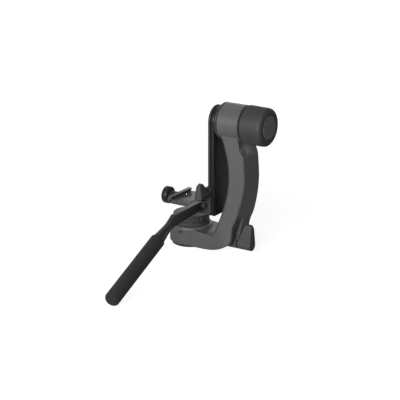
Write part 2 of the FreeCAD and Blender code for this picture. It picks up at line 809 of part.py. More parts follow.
def cut_rail_way(body):
    """The T-shaped way that the rail slides in, with its clearance on every face."""
    flange_half = plate_half_width + slide_fit
    neck_half = rail_neck_half_width + slide_fit
    low, high = leg_bottom - 5, leg_top + 5
    way = box(V(rail_face - slide_fit, -flange_half, low), V(rail_neck_start + slide_fit, flange_half, high))
    mouth = box(V(rail_face, -neck_half, low), V(leg_end + 1, neck_half, high))
    return body.cut(way).cut(mouth)


def gib_start():
    return V(slide_lock_x - gib_width / 2 + 0.6, -(plate_half_width + gib_gap + gib_thickness),
             slide_lock_height - gib_height / 2)


def make_slide_bracket():
    leg = box(V(leg_face, -leg_half_width, leg_bottom), V(leg_end, leg_half_width, leg_top))
    leg = leg.makeChamfer(leg_edge_chamfer, leg.Edges)
    foot = box(V(foot_start, -leg_half_width, foot_bottom), V(leg_face + 2, leg_half_width, foot_top))
    body = cut_rail_way(fuse([leg, foot]))
    lock_start = V(slide_lock_x, -leg_half_width - 1, slide_lock_height)
    body = body.cut(cylinder(slide_lock_screw_radius + running_fit, lock_start, leg_wall + 1, Y))
    gib = gib_start()
    pocket = box(gib, V(gib.x + gib_width, -plate_half_width, gib.z + gib_height))
    body = body.cut(pocket)
    for place in foot_screw_places():
        body = body.cut(cylinder(foot_screw_head_radius, V(place.x, place.y, foot_bottom), 3.6, Z))
        body = body.cut(cylinder(foot_screw_radius, V(place.x, place.y, foot_bottom), 20, Z))
    return body


def make_slide_gib():
    gib = gib_start()
    return box(gib, V(gib.x + gib_width, gib.y + gib_thickness, gib.z + gib_height))


def foot_screw_places():
    middle = (foot_start + leg_face) / 2
    return [V(middle, -foot_screw_spacing / 2, foot_bottom), V(middle, foot_screw_spacing / 2, foot_bottom)]


def make_foot_screws():
    return Part.makeCompound([socket_screw(foot_screw_head_radius, 3.0, foot_screw_radius,
                                           foot_screw_length,
                                           place + Z * 0.6, Z * -1) for place in foot_screw_places()])


def dovetail_points(side):
    """Half of the clamp's channel, from its floor up; side is +1 or -1."""
    nose = clamp_top - lip_nose
    undercut = nose - (dovetail_half_width - lip_half_gap)
    return [(side * dovetail_half_width, clamp_floor), (side * dovetail_half_width, undercut),
            (side * lip_half_gap, nose), (side * lip_half_gap, clamp_top)]


def make_clamp_body():
    y = clamp_half_length
    channel = dovetail_points(1)
    outline = [(clamp_body_end, clamp_bottom), (leg_face, clamp_bottom), (leg_face, clamp_floor),
               (foot_start + 1.0, clamp_floor), (foot_start + 1.0, clamp_top)]
    outline += list(reversed(channel)) + [(clamp_body_end, clamp_floor)]
    body = prism([V(x, -y, z) for x, z in outline], Y * (2 * y))
    rib = box(V(clamp_body_end, -clamp_rib_half_width, clamp_bottom - clamp_rib_depth),
              V(foot_start, clamp_rib_half_width, clamp_floor))
    rib = rib.makeChamfer(1.5, [edge for edge in rib.Edges if edge.BoundBox.ZMax < clamp_bottom
                                and edge.BoundBox.XLength > 1])
    body = fuse([body, rib, make_handle_lug()])
    screw_way = cylinder(clamp_screw_radius + running_fit, V(clamp_body_end, 0, clamp_screw_height),
                         clamp_bore_end - clamp_body_end, X)
    body = body.cut(screw_way)
    for side in (-1, 1):
        place = V(clamp_body_end, side * guide_pin_spacing / 2, guide_pin_height)
        body = body.cut(cylinder(guide_pin_radius + running_fit, place, guide_bore_depth, X))
    floor_screw = V(floor_screw_x, floor_screw_y, clamp_floor - floor_screw_depth)
    body = body.cut(cylinder(floor_screw_radius, floor_screw, 20, Z))
    for place in foot_screw_places():
        body = body.cut(cylinder(foot_screw_radius, V(place.x, place.y, clamp_bottom), 4.8, Z))
    bolt_start = to_handle(V(-lug_thickness - handle_thickness, 0, 0))
    return body.cut(cylinder(handle_bolt_radius, bolt_start, 40, handle_side()))


def make_floor_screw():
    top = V(floor_screw_x, floor_screw_y, clamp_floor - 0.4)
    return socket_screw(floor_screw_radius, 2.0, floor_screw_radius * 0.7, floor_screw_depth - 0.4, top, Z)


def make_moving_jaw():
    y = clamp_half_length
    channel = dovetail_points(-1)
    outline = [(jaw_outer, clamp_bottom - 0.6), (jaw_outer + jaw_skirt, clamp_bottom - 0.6),
               (jaw_outer + jaw_skirt, clamp_floor - 0.2), (-dovetail_half_width, clamp_floor - 0.2)]
    outline += channel[1:] + [(jaw_outer + 0.9, clamp_top), (jaw_outer, clamp_top - 1.4)]
    body = prism([V(x, -y, z) for x, z in outline], Y * (2 * y))
    rib = box(V(jaw_outer, -clamp_rib_half_width, clamp_bottom - clamp_rib_depth),
              V(jaw_outer + jaw_skirt, clamp_rib_half_width, clamp_floor))
    body = fuse([body, rib])
    screw_place = V(jaw_outer, 0, clamp_screw_height)
    body = body.cut(cylinder(clamp_screw_radius + running_fit, screw_place, 20, X))
    for side in (-1, 1):
        place = V(jaw_outer + 1, side * guide_pin_spacing / 2, guide_pin_height)
        body = body.cut(cylinder(guide_pin_radius, place, 20, X))
    return body


def make_guide_pins():
    start = jaw_outer + 1
    length = guide_pin_length + jaw_skirt
    pins = [cylinder(guide_pin_radius, V(start, side * guide_pin_spacing / 2, guide_pin_height), length, X)
            for side in (-1, 1)]
    return Part.makeCompound(pins)


def make_clamp_collar():
    start = V(knob_face, 0, clamp_screw_height)
    length = clamp_collar_length - knob_gap
    body = ring(clamp_collar_radius, clamp_screw_radius, start, length, X)
    groove = ring(clamp_collar_radius + 1, clamp_collar_radius - 1.0, start + X * (length * 0.55), 1.6, X)
    return body.cut(groove)


def make_clamp_knob():
    start = V(knob_face - clamp_knob_length, 0, clamp_screw_height)
    edge = clamp_knob_edge
    profile = [(0, 0), (0, clamp_knob_radius - edge), (edge, clamp_knob_radius),
               (clamp_knob_length - edge, clamp_knob_radius), (clamp_knob_length, clamp_knob_radius - edge),
               (clamp_knob_length, 0)]
    turned = lathe(profile, start, X)
    ribs = ribbed_prism(clamp_knob_radius, clamp_knob_rib_depth, clamp_knob_rib_count, start,
                        clamp_knob_length)
    body = turned.common(ribs)
    return body.cut(cylinder(clamp_screw_radius, start + X * 3, 20, X))


def make_clamp_screw():
    start = knob_face - clamp_knob_length + 3
    return cylinder(clamp_screw_radius, V(start, 0, clamp_screw_height), clamp_screw_end - start, X)


def make_slide_lock_knob():
    profile = [(0.12, 0.1), (0.14, 0.2), (0.35, 0.5), (0.63, 0.94), (0.74, 1.0), (0.97, 0.84), (0.99, 0.1)]
    body = wing_knob(slide_lock_hub_radius, slide_lock_hub_length, slide_lock_wing_half_top,
                     slide_lock_wing_height, profile)
    body = body.cut(cylinder(slide_lock_screw_radius, V(0, 0, 0), slide_lock_hub_length - 6, X))
    body.rotate(V(0, 0, 0), Z, -90)
    body.translate(V(slide_lock_x, -leg_half_width - knob_gap, slide_lock_height))
    return body


def make_slide_lock_screw():
    start = V(slide_lock_x, -(plate_half_width + gib_gap + gib_thickness), slide_lock_height)
    end = leg_half_width + knob_gap + slide_lock_hub_length - 6
    return cylinder(slide_lock_screw_radius, start, end + start.y, Y * -1)


def to_handle(point):
    """A point of the handle's own frame, whose origin is the middle of its eye."""
    turned = Part.Vertex(point)
    turned.rotate(V(0, 0, 0), Z, handle_yaw)
    return turned.Point + V(handle_x, handle_y, handle_z)


def handle_side():
    return to_handle(X) - to_handle(V(0, 0, 0))


def place_handle(shape):
    shape.rotate(V(0, 0, 0), Z, handle_yaw)
    shape.translate(V(handle_x, handle_y, handle_z))
    return shape


def handle_down():
    """The direction of the handle's sloping part, in its own frame."""
    slope = math.radians(handle_slope)
    return V(0, -math.cos(slope), -math.sin(slope))


def make_handle_lug():
    start = V(-handle_thickness / 2 - lug_thickness, 0, 0)
    eye = cylinder(lug_radius, start, lug_thickness, X)
    drop = clamp_bottom - handle_z
    web = box(start + V(0, -lug_radius, drop), V(-handle_thickness / 2, -handle_y - clamp_half_length + 3, 0))
    back = box(start + V(0, 0, 0), V(-handle_thickness / 2, -handle_y - clamp_half_length + 3, lug_radius * 0.4))
    web_and_back = fuse([web, back])
    return place_handle(fuse([eye, web_and_back]))


def make_handle_bar():
    half = handle_thickness / 2
    axis = handle_down()
    normal = V(0, -math.sin(math.radians(handle_slope)), math.cos(math.radians(handle_slope)))
    bend = V(0, -handle_bend_distance, 1.3)
    waist = bend + axis * handle_waist_distance
    top = V(-half, -handle_eye_radius * 2, handle_z * 0 + 8.4)
    eye = cylinder(handle_eye_radius, V(-half, 0, 0), handle_thickness, X)
    shift = V(-half, 0, 0)
    outline = [V(-half, 0, handle_eye_radius * 0.8), V(-half, -5.0, handle_eye_radius * 1.2), top,
               bend + shift + Z * handle_bend_half_height, waist + shift + normal * handle_waist_half_height,
               bend + shift + axis * (handle_waist_distance + handle_flare_length) + normal * 6.6,
               bend + shift + axis * (handle_waist_distance + handle_flare_length) - normal * 6.6,
               waist + shift - normal * handle_waist_half_height,
               bend + shift - Z * handle_bend_half_height + Y * 2, V(-half, 0, -handle_eye_radius)]
    bar = prism(outline, X * handle_thickness)
    cone = Part.makeCone(handle_waist_half_height, handle_end_radius, handle_flare_length, waist, axis)
    end = waist + axis * handle_flare_length
    tenon = cylinder(handle_tenon_radius, end, handle_tenon_length, axis)
    body = fuse([bar, eye, cone, tenon])
    body = body.cut(cylinder(handle_bolt_radius, V(-half - 1, 0, 0), handle_thickness + 2, X))
    return place_handle(body)


def grip_start():
    return V(0, -handle_bend_distance, 1.3) + handle_down() * (handle_waist_distance + handle_flare_length)


def make_handle_grip():
    body = cylinder(grip_radius, grip_start(), grip_length, handle_down())
    near = [edge for edge in body.Edges if edge.Closed]
    near.sort(key=lambda edge: edge.CenterOfMass.y)
    body = body.makeFillet(grip_end_radius, [near[0]])
    rest = [edge for edge in body.Edges if edge.Closed and edge.CenterOfMass.y > near[-1].CenterOfMass.y - 0.1]
    body = body.makeFillet(grip_shoulder_radius * 0.5, rest)
    body = body.cut(cylinder(handle_tenon_radius, grip_start(), handle_tenon_length, handle_down()))
    return place_handle(body)


def make_handle_bolt():
    start = to_handle(V(handle_thickness / 2 + 0.8, 0, 0))
    side = handle_side()
    length = handle_thickness + 0.8 + lug_thickness - 1 + handle_bolt_head_height
    top = start + side * handle_bolt_head_height
    return socket_screw(handle_bolt_head_radius, handle_bolt_head_height, handle_bolt_radius, length, top, side)


def make_handle_washer():
    start = to_handle(V(handle_thickness / 2, 0, 0))
    return ring(handle_bolt_head_radius + 0.8, handle_bolt_radius, start, 0.8, handle_side())


def save_base():
    save("base_plate", make_base_plate())
    save("thread_insert", make_thread_insert())
    save("base_screws", make_base_screws())
    save("pan_spindle", make_pan_spindle())
    save("spindle_nut", make_spindle_nut())
    save("spring_washers", make_spring_washers())
    save("clutch_disc", make_clutch_disc())
    save("thrust_washer", make_thrust_washer())


def save_arm():
    save("arm", make_arm())
    save("pan_bearings", Part.makeCompound(make_pan_bearings()))
    save("brake_shoe", make_brake_shoe())
    save("set_screws", make_set_screws())
    save("dial_seat_ring", make_dial_seat_ring())
    save("tilt_bearings", make_tilt_bearings())
    save("bearing_spacer", make_bearing_spacer())
    save("tilt_end_ring", make_tilt_end_ring())
    save("friction_disc", make_friction_disc())
    save("pan_dial", make_pan_dial())
    save("pan_dial_cap", make_pan_dial_cap())
    save("pan_lock_knob", make_pan_lock_knob())
    save("pan_lock_screw", make_pan_lock_screw())


def save_tilt():
    save("tilt_shaft", make_tilt_shaft())
    save("tilt_flange", make_tilt_flange())
    save("knob_washer", make_knob_washer())
    save("slide_rail", make_slide_rail())
    save("swing_plate", make_swing_plate())
    save("flange_screws", make_plate_screws(flange_screw_places(), flange_screw_length))
    save("rail_screws", make_plate_screws(rail_screw_places(), rail_screw_length))
    save("stop_pins", make_stop_pins())
    save("tilt_knob", make_tilt_knob())
    save("tilt_knob_insert", make_tilt_knob_insert())
    save("tilt_knob_disc", make_tilt_knob_disc())


def save_bracket():
    save("slide_bracket", make_slide_bracket())
    save("clamp_body", make_clamp_body())
    save("foot_screws", make_foot_screws())
    save("slide_gib", make_slide_gib())
    save("floor_screw", make_floor_screw())
    save("slide_lock_knob", make_slide_lock_knob())
    save("slide_lock_screw", make_slide_lock_screw())
    save("moving_jaw", make_moving_jaw())
    save("guide_pins", make_guide_pins())
    save("clamp_knob", make_clamp_knob())
    save("clamp_collar", make_clamp_collar())
    save("clamp_screw", make_clamp_screw())
    save("handle_bar", make_handle_bar())
    save("handle_grip", make_handle_grip())
    save("handle_bolt", make_handle_bolt())
    save("handle_washer", make_handle_washer())


os.makedirs("parts", exist_ok=True)
save_base()
save_arm()
save_tilt()
save_bracket()
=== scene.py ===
import bpy
import bmesh
import json
import math
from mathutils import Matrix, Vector


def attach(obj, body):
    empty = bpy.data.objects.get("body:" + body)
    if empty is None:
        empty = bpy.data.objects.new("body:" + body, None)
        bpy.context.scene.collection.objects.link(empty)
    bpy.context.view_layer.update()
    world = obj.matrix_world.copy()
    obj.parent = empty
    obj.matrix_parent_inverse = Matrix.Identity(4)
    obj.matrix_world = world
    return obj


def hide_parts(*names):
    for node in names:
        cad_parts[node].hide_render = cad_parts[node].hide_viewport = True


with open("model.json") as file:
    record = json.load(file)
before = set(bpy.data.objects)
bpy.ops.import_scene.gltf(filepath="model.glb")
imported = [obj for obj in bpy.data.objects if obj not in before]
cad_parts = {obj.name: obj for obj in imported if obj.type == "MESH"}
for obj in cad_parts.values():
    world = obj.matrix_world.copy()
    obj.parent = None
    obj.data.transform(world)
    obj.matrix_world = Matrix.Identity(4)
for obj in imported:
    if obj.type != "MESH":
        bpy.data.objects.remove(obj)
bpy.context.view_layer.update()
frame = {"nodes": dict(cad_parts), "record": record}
mm = 0.001  # sizes below are in millimetres, Blender's are in metres
record = frame["record"]
bodyOf = {node: body for body, members in record["behaviour"]["bodies"].items() for node in members}
alongX, alongZ = (1, 0, 0), (0, 0, 1)
tiltHeight, clampHeight, lockHeight = 207.3, 69.8, 13.2  # of the tilt, clamp and pan lock axes above the base
bpy.context.scene.view_settings.view_transform = "Standard"


# a node of a tree, with each input either a plain value or another node's output
def addNode(tree, kind, inputs=None, **settings):
    node = tree.nodes.new("ShaderNode" + kind)
    for name, value in settings.items():
        setattr(node, name, value)
    for socket, value in (inputs or {}).items():
        if isinstance(value, bpy.types.NodeSocket):
            tree.links.new(value, node.inputs[socket])
        else:
            node.inputs[socket].default_value = value
    return node


def calculate(tree, operation, first, second=0.0, clamped=False):
    return addNode(tree, "Math", {0: first, 1: second}, operation=operation, use_clamp=clamped).outputs[0]


def rescale(tree, value, fromLow, fromHigh, toLow, toHigh):
    ends = {"Value": value, "From Min": fromLow, "From Max": fromHigh, "To Min": toLow, "To Max": toHigh}
    return addNode(tree, "MapRange", ends).outputs[0]


def addNoise(tree, vector, scale, detail, roughness=0.5, distortion=0.0):
    return addNode(tree, "TexNoise", {"Vector": vector, "Scale": scale, "Detail": detail, "Roughness": roughness,
                                      "Distortion": distortion}).outputs[0]


def mixColours(tree, share, low, high):
    return addNode(tree, "Mix", {0: share, 6: low, 7: high}, data_type="RGBA").outputs[2]


print("stage 1: camera, lamps and floor")

cameraSetup = {
    "azimuth": 32.5,
    "elevation": 17.0,
    "target": (30.0, 0.0, 120.0),
    "distance": 2343.75,
    "lens": 135.0,
    "sensor": 36.0,
    "clip": (0.1, 20.0),  # m
    "shift": (-0.0183, -0.0706),
}


def addCamera(setup):
    turn, rise = math.radians(setup["azimuth"]), math.radians(setup["elevation"])
    back = Vector((math.sin(turn) * math.cos(rise), -math.cos(turn) * math.cos(rise), math.sin(rise)))
    place = (Vector(setup["target"]) + back * setup["distance"]) * mm
    bpy.ops.object.camera_add(location=place, rotation=(-back).to_track_quat("-Z", "Y").to_euler())
    camera = bpy.context.object
    camera.data.lens = setup["lens"]
    camera.data.sensor_width = setup["sensor"]
    camera.data.shift_x, camera.data.shift_y = setup["shift"]
    camera.data.clip_start, camera.data.clip_end = setup["clip"]
    bpy.context.scene.camera = camera


lampTarget = Vector((0.03, -0.05, 0.1))  # m
lampSetup = {
    # name: place in m, size in m, watts
    "frontPanel": ((0.36, -1.95, 0.85), (1.5, 0.6), 68.0),
    "topPanel": ((-0.9, 0.6, 1.6), (1.6, 1.2), 5.0),
    "sidePanel": ((1.9, 0.4, 0.5), (1.0, 1.2), 0.4),
    "rearPanel": ((-0.6, 1.8, 0.9), (1.4, 1.0), 2.0),
}


def addLamp(name, place, size, watts):
    aim = lampTarget - Vector(place)
    bpy.ops.object.light_add(type="AREA", location=place, rotation=aim.to_track_quat("-Z", "Y").to_euler())
    lamp = bpy.context.object
    lamp.name = name
    lamp.data.shape = "RECTANGLE"
    lamp.data.size, lamp.data.size_y = size
    lamp.data.energy = watts


roomSetup = {
    "glow": 0.008,  # what the room adds to the lamps
    "backdropTop": (0.30, 0.42),  # sine of the height at which the white backdrop ends and the dim room starts
    "ceilingGlow": 0.02,  # the dim room above it, as a shiny surface shows it
}


def addRoom(setup):
    world = bpy.data.worlds.new("paleRoom")
    bpy.context.scene.world = world
    world.use_nodes = True
    tree = world.node_tree
    tree.nodes.clear()
    path = addNode(tree, "LightPath")
    rise = addNode(tree, "SeparateXYZ", {0: addNode(tree, "TexCoord").outputs["Generated"]}).outputs["Z"]
    mirrored = rescale(tree, rise, *setup["backdropTop"], 1.0, setup["ceilingGlow"])
    glossy = calculate(tree, "MAXIMUM", path.outputs["Is Glossy Ray"], path.outputs["Is Transmission Ray"])
    room = addNode(tree, "Background", {"Strength": setup["glow"]})
    mirror = addNode(tree, "Background", {"Strength": mirrored})
    seen = addNode(tree, "Background", {"Color": (1, 1, 1, 1), "Strength": 1.0})
    for shader in (room, mirror):
        shader.inputs["Color"].default_value = (1, 1, 1, 1)
    bounced = addNode(tree, "MixShader", {0: glossy, 1: room.outputs[0], 2: mirror.outputs[0]})
    shown = addNode(tree, "MixShader", {0: path.outputs["Is Camera Ray"], 1: bounced.outputs[0], 2: seen.outputs[0]})
    addNode(tree, "OutputWorld", {"Surface": shown.outputs[0]})


floorSetup = {
    "size": 12.0,  # m
    "tone": 0.20,  # for light that bounces off it
    "nearGlowPaintedShade": 0.89,  # what the camera sees of it in full shadow, close to the part: its glow is dimmed there as painted shade around the part
    "paintedShadeReach": (0.25, 0.9),  # m from the middle over which the painted shade around the part fades and it turns fully white
    "mirrorWhite": 0.12,  # as a shiny surface shows it
    "shadowShare": 0.25,  # how strongly the lamps and the part's shadow act on it
}


def addFloor(setup):
    bpy.ops.mesh.primitive_plane_add(size=setup["size"], location=(0, 0, 0))
    floor = bpy.context.object
    floor.name = "paleFloor"
    look = bpy.data.materials.new("paleFloor")
    look.use_nodes = True
    tree = look.node_tree
    tree.nodes.clear()
    path = addNode(tree, "LightPath")
    glossy = calculate(tree, "MAXIMUM", path.outputs["Is Glossy Ray"], path.outputs["Is Transmission Ray"])
    seen = calculate(tree, "MAXIMUM", path.outputs["Is Camera Ray"], glossy)
    plain = addNode(tree, "BsdfDiffuse", {"Color": (setup["tone"],) * 3 + (1,)})
    shade = addNode(tree, "BsdfDiffuse", {"Color": (setup["shadowShare"],) * 3 + (1,)})
    reach = addNode(tree, "VectorMath", {0: addNode(tree, "NewGeometry").outputs["Position"]}, operation="LENGTH")
    # painted shade: the floor's own glow is dimmer close to the part and turns fully white farther out
    shown = rescale(tree, reach.outputs["Value"], *setup["paintedShadeReach"], setup["nearGlowPaintedShade"], 1.0)
    own = rescale(tree, path.outputs["Is Camera Ray"], 0.0, 1.0, setup["mirrorWhite"], shown)
    white = addNode(tree, "Emission", {"Color": (1, 1, 1, 1), "Strength": own})
    both = addNode(tree, "AddShader", {0: shade.outputs[0], 1: white.outputs[0]})
    mixed = addNode(tree, "MixShader", {0: seen, 1: plain.outputs[0], 2: both.outputs[0]})
    addNode(tree, "OutputMaterial", {"Surface": mixed.outputs[0]})
    floor.data.materials.append(look)


addCamera(cameraSetup)
for name, (place, size, watts) in lampSetup.items():
    addLamp(name, place, size, watts)
addRoom(roomSetup)
addFloor(floorSetup)


print("stage 2: shared effects")


def newGroup(name, inputs, outputs):
    group = bpy.data.node_groups.new(name, "ShaderNodeTree")
    for label, kind in inputs.items():
        group.interface.new_socket(name=label, in_out="INPUT", socket_type="NodeSocket" + kind)
    for label in outputs:
        group.interface.new_socket(name=label, in_out="OUTPUT", socket_type="NodeSocketFloat")
    return group, group.nodes.new("NodeGroupInput").outputs, group.nodes.new("NodeGroupOutput").inputs


castGrainSetup = {
    "detail": 4.0, "roughness": 0.62, "wideShare": 0.23, "wideDetail": 2.0, "swell": 0.45,
    "pitReach": (0.02, 0.20), "maskReach": (0.7, 1.3),
}


# the sandy skin of a painted casting, with small pits
def buildCastGrain(setup):
    group, given, out = newGroup("castGrain", {"Vector": "Vector", "Scale": "Float", "Pits": "Float"},
                                 ("Height", "Mask"))
    wide = calculate(group, "MULTIPLY", given["Scale"], setup["wideShare"])
    fine = addNoise(group, given["Vector"], given["Scale"], setup["detail"], setup["roughness"])
    swell = addNoise(group, given["Vector"], wide, setup["wideDetail"])
    cells = addNode(group, "TexVoronoi", {"Vector": given["Vector"], "Scale": wide}).outputs["Distance"]
    pit = rescale(group, cells, *setup["pitReach"], 1.0, 0.0)
    sunk = calculate(group, "MULTIPLY", pit, given["Pits"])
    skin = calculate(group, "ADD", fine, calculate(group, "MULTIPLY", swell, setup["swell"]))
    group.links.new(calculate(group, "SUBTRACT", skin, sunk), out["Height"])
    group.links.new(rescale(group, calculate(group, "ADD", fine, swell), *setup["maskReach"], 0.0, 1.0), out["Mask"])
    return group


toneDriftSetup = {"detail": 3.0, "roughness": 0.55, "distortion": 0.4, "reach": (0.32, 0.68)}


# slow changes of tone over a surface, from 0 to 1
def buildToneDrift(setup):
    group, given, out = newGroup("toneDrift", {"Vector": "Vector", "Scale": "Float"}, ("Mask",))
    cloud = addNoise(group, given["Vector"], given["Scale"], setup["detail"], setup["roughness"], setup["distortion"])
    group.links.new(rescale(group, cloud, *setup["reach"], 0.0, 1.0), out["Mask"])
    return group


edgeRubSetup = {
    "samples": 4,
    "facing": (0.99, 0.86),  # cosines of the turn of the surface at which rubbing starts and is full
    "scale": 160.0, "detail": 5.0, "roughness": 0.7, "brokenReach": (0.42, 0.62), "least": 0.15,
}


# broken rubbing on the edges that hands and cases touch
def buildEdgeRub(setup):
    group, given, out = newGroup("edgeRub", {"Vector": "Vector", "Width": "Float", "Amount": "Float"}, ("Mask",))
    rounded = addNode(group, "Bevel", {"Radius": given["Width"]}, samples=setup["samples"]).outputs[0]
    straight = addNode(group, "NewGeometry").outputs["Normal"]
    facing = addNode(group, "VectorMath", {0: rounded, 1: straight}, operation="DOT_PRODUCT").outputs["Value"]
    edge = rescale(group, facing, *setup["facing"], 0.0, 1.0)
    broken = addNoise(group, given["Vector"], setup["scale"], setup["detail"], setup["roughness"])
    worn = calculate(group, "MULTIPLY", edge, rescale(group, broken, *setup["brokenReach"], setup["least"], 1.0))
    group.links.new(calculate(group, "MULTIPLY", worn, given["Amount"], clamped=True), out["Mask"])
    return group


dustFilmSetup = {
    "rise": (0.35, 1.0),  # sines of the surface's upward tilt at which dust starts to lie and is full
    "scale": 420.0, "detail": 6.0, "roughness": 0.75, "speckReach": (0.45, 0.72), "least": 0.1,
}


# thin dust that settles on what faces up
def buildDustFilm(setup):
    group, given, out = newGroup("dustFilm", {"Vector": "Vector", "Normal": "Vector", "Amount": "Float"}, ("Mask",))
    up = addNode(group, "SeparateXYZ", {0: given["Normal"]}).outputs["Z"]
    lying = rescale(group, up, *setup["rise"], 0.0, 1.0)
    specks = addNoise(group, given["Vector"], setup["scale"], setup["detail"], setup["roughness"])
    film = calculate(group, "MULTIPLY", lying, rescale(group, specks, *setup["speckReach"], setup["least"], 1.0))
    group.links.new(calculate(group, "MULTIPLY", film, given["Amount"], clamped=True), out["Mask"])
    return group


latheRingsSetup = {"detail": 3.0, "roughness": 0.7}


# the fine rings that a lathe leaves, around the X axis of the vector it is given
def buildLatheRings(setup):
    group, given, out = newGroup("latheRings", {"Vector": "Vector", "Scale": "Float"}, ("Height",))
    parts = addNode(group, "SeparateXYZ", {0: given["Vector"]}).outputs
    across = addNode(group, "CombineXYZ", {1: parts["Y"], 2: parts["Z"]}).outputs[0]
    radius = addNode(group, "VectorMath", {0: across}, operation="LENGTH").outputs["Value"]
    rings = addNode(group, "CombineXYZ", {0: parts["X"], 1: radius}).outputs[0]
    group.links.new(addNoise(group, rings, given["Scale"], setup["detail"], setup["roughness"]), out["Height"])
    return group


foamCellsSetup = {
    "lumpShare": 0.3, "detail": 4.0, "roughness": 0.7, "dentReach": (0.0, 0.55), "dentDepth": 0.6,
    "maskReach": (0.5, 1.3),
}


# small closed cells of foam rubber
def buildFoamCells(setup):
    group, given, out = newGroup("foamCells", {"Vector": "Vector", "Scale": "Float"}, ("Height", "Mask"))
    cells = addNode(group, "TexVoronoi", {"Vector": given["Vector"], "Scale": given["Scale"]}).outputs["Distance"]
    wide = calculate(group, "MULTIPLY", given["Scale"], setup["lumpShare"])
    lumps = addNoise(group, given["Vector"], wide, setup["detail"], setup["roughness"])
    dents = rescale(group, cells, *setup["dentReach"], 1.0, 0.0)
    sunk = calculate(group, "MULTIPLY", dents, setup["dentDepth"])
    group.links.new(calculate(group, "SUBTRACT", lumps, sunk), out["Height"])
    group.links.new(rescale(group, calculate(group, "ADD", lumps, dents), *setup["maskReach"], 0.0, 1.0), out["Mask"])
    return group


effects = {
    "castGrain": buildCastGrain(castGrainSetup),
    "toneDrift": buildToneDrift(toneDriftSetup),
    "edgeRub": buildEdgeRub(edgeRubSetup),
    "dustFilm": buildDustFilm(dustFilmSetup),
    "latheRings": buildLatheRings(latheRingsSetup),
    "foamCells": buildFoamCells(foamCellsSetup),
}


def addEffect(tree, name, inputs):
    return addNode(tree, "Group", inputs, node_tree=effects[name]).outputs


# turns a texture's X axis to the axis that a piece was turned around
turnTo = {"X": (0.0, 0.0, 0.0), "Y": (0.0, 0.0, math.pi / 2), "Z": (0.0, -math.pi / 2, 0.0)}


# a plain number stands for a grey that is a little cool
def colour(tone):
    return (*tone, 1.0) if isinstance(tone, tuple) else (tone, tone, tone * 1.02, 1.0)


# what a finish has unless it says otherwise
plainFinish = {
    "centre": (0, 0, 0), "axis": "X", "rubGloss": 0.08, "dustTone": (0.42, 0.41, 0.39), "dustRough": 0.2, "bump": 0.5,
}


# one material from a piece's finish: its own tones, grain, wear and dust
def makeLook(name, finish):
    finish = {"fleckTone": finish["light"], **plainFinish, **finish}
    material = bpy.data.materials.new(name)
    material.use_nodes = True
    tree = material.node_tree
    shader = tree.nodes["Principled BSDF"]
    place = addNode(tree, "TexCoord").outputs
    middle = Vector(finish["centre"]) * mm
    spot = addNode(tree, "Mapping", {"Vector": place["Object"], "Location": middle,
                                     "Rotation": turnTo[finish["axis"]]},
                   vector_type="TEXTURE").outputs[0]
    drift = addEffect(tree, "toneDrift", {"Vector": spot, "Scale": finish["driftScale"]})["Mask"]
    skinKind = "foamCells" if "foam" in finish else "castGrain"
    skinValues = {"Vector": spot, "Scale": finish["grainScale"]}
    if skinKind == "castGrain":
        skinValues["Pits"] = finish["pits"]
    skin = addEffect(tree, skinKind, skinValues)
    rub = addEffect(tree, "edgeRub", {"Vector": spot, "Width": finish["rubWidth"] * mm,
                                      "Amount": finish["rub"]})["Mask"]
    dust = addEffect(tree, "dustFilm", {"Vector": spot, "Normal": place["Normal"],
                                        "Amount": finish["dust"]})["Mask"]
    tones = mixColours(tree, drift, colour(finish["dark"]), colour(finish["light"]))
    flecked = mixColours(tree, calculate(tree, "MULTIPLY", skin["Mask"], finish["fleck"]), tones,
                         colour(finish["fleckTone"]))
    rubbed = mixColours(tree, rub, flecked, colour(finish["rubTone"]))
    dusted = mixColours(tree, dust, rubbed, colour(finish["dustTone"]))
    tree.links.new(dusted, shader.inputs["Base Color"])

    low, high = finish["rough"]
    rough = rescale(tree, calculate(tree, "ADD", skin["Mask"], drift), 0.0, 2.0, low, high)
    rough = calculate(tree, "SUBTRACT", rough, calculate(tree, "MULTIPLY", rub, finish["rubGloss"]))
    tree.links.new(calculate(tree, "ADD", rough, calculate(tree, "MULTIPLY", dust, finish["dustRough"]), clamped=True),
                   shader.inputs["Roughness"])

    height = skin["Height"]
    if "rings" in finish:
        scale, share = finish["rings"]
        lines = addEffect(tree, "latheRings", {"Vector": spot, "Scale": scale})["Height"]
        height = calculate(tree, "ADD", height, calculate(tree, "MULTIPLY", lines, share))
    bump = addNode(tree, "Bump", {"Height": height, "Strength": finish["bump"],
                                  "Distance": finish["depth"] * mm})
    tree.links.new(bump.outputs[0], shader.inputs["Normal"])
    for socket, value in finish["shader"].items():
        shader.inputs[socket].default_value = value
    return material


# what the finishes have in common; each piece adds its own values
paintedCasting = {
    "dark": 0.072, "light": 0.086, "driftScale": 16.0, "grainScale": 1500.0, "pits": 0.35, "fleck": 0.3,
    "rough": (0.30, 0.40), "rub": 0.35, "rubWidth": 0.5, "rubTone": 0.19, "dust": 0.05, "depth": 0.04,
    "shader": {"Specular IOR Level": 0.4},
}
anodisedAlloy = {
    "dark": 0.040, "light": 0.050, "driftScale": 20.0, "grainScale": 2600.0, "pits": 0.1, "fleck": 0.2,
    "rough": (0.30, 0.42), "rub": 0.45, "rubWidth": 0.35, "rubTone": 0.22, "dust": 0.04, "depth": 0.02,
    "shader": {"Specular IOR Level": 0.3},
}
mouldedPlastic = {
    "dark": 0.050, "light": 0.060, "driftScale": 35.0, "grainScale": 2100.0, "pits": 0.15, "fleck": 0.25,
    "rough": (0.46, 0.58), "rub": 0.3, "rubWidth": 0.4, "rubTone": 0.11, "dust": 0.06, "depth": 0.03,
    "shader": {"Specular IOR Level": 0.2},
}
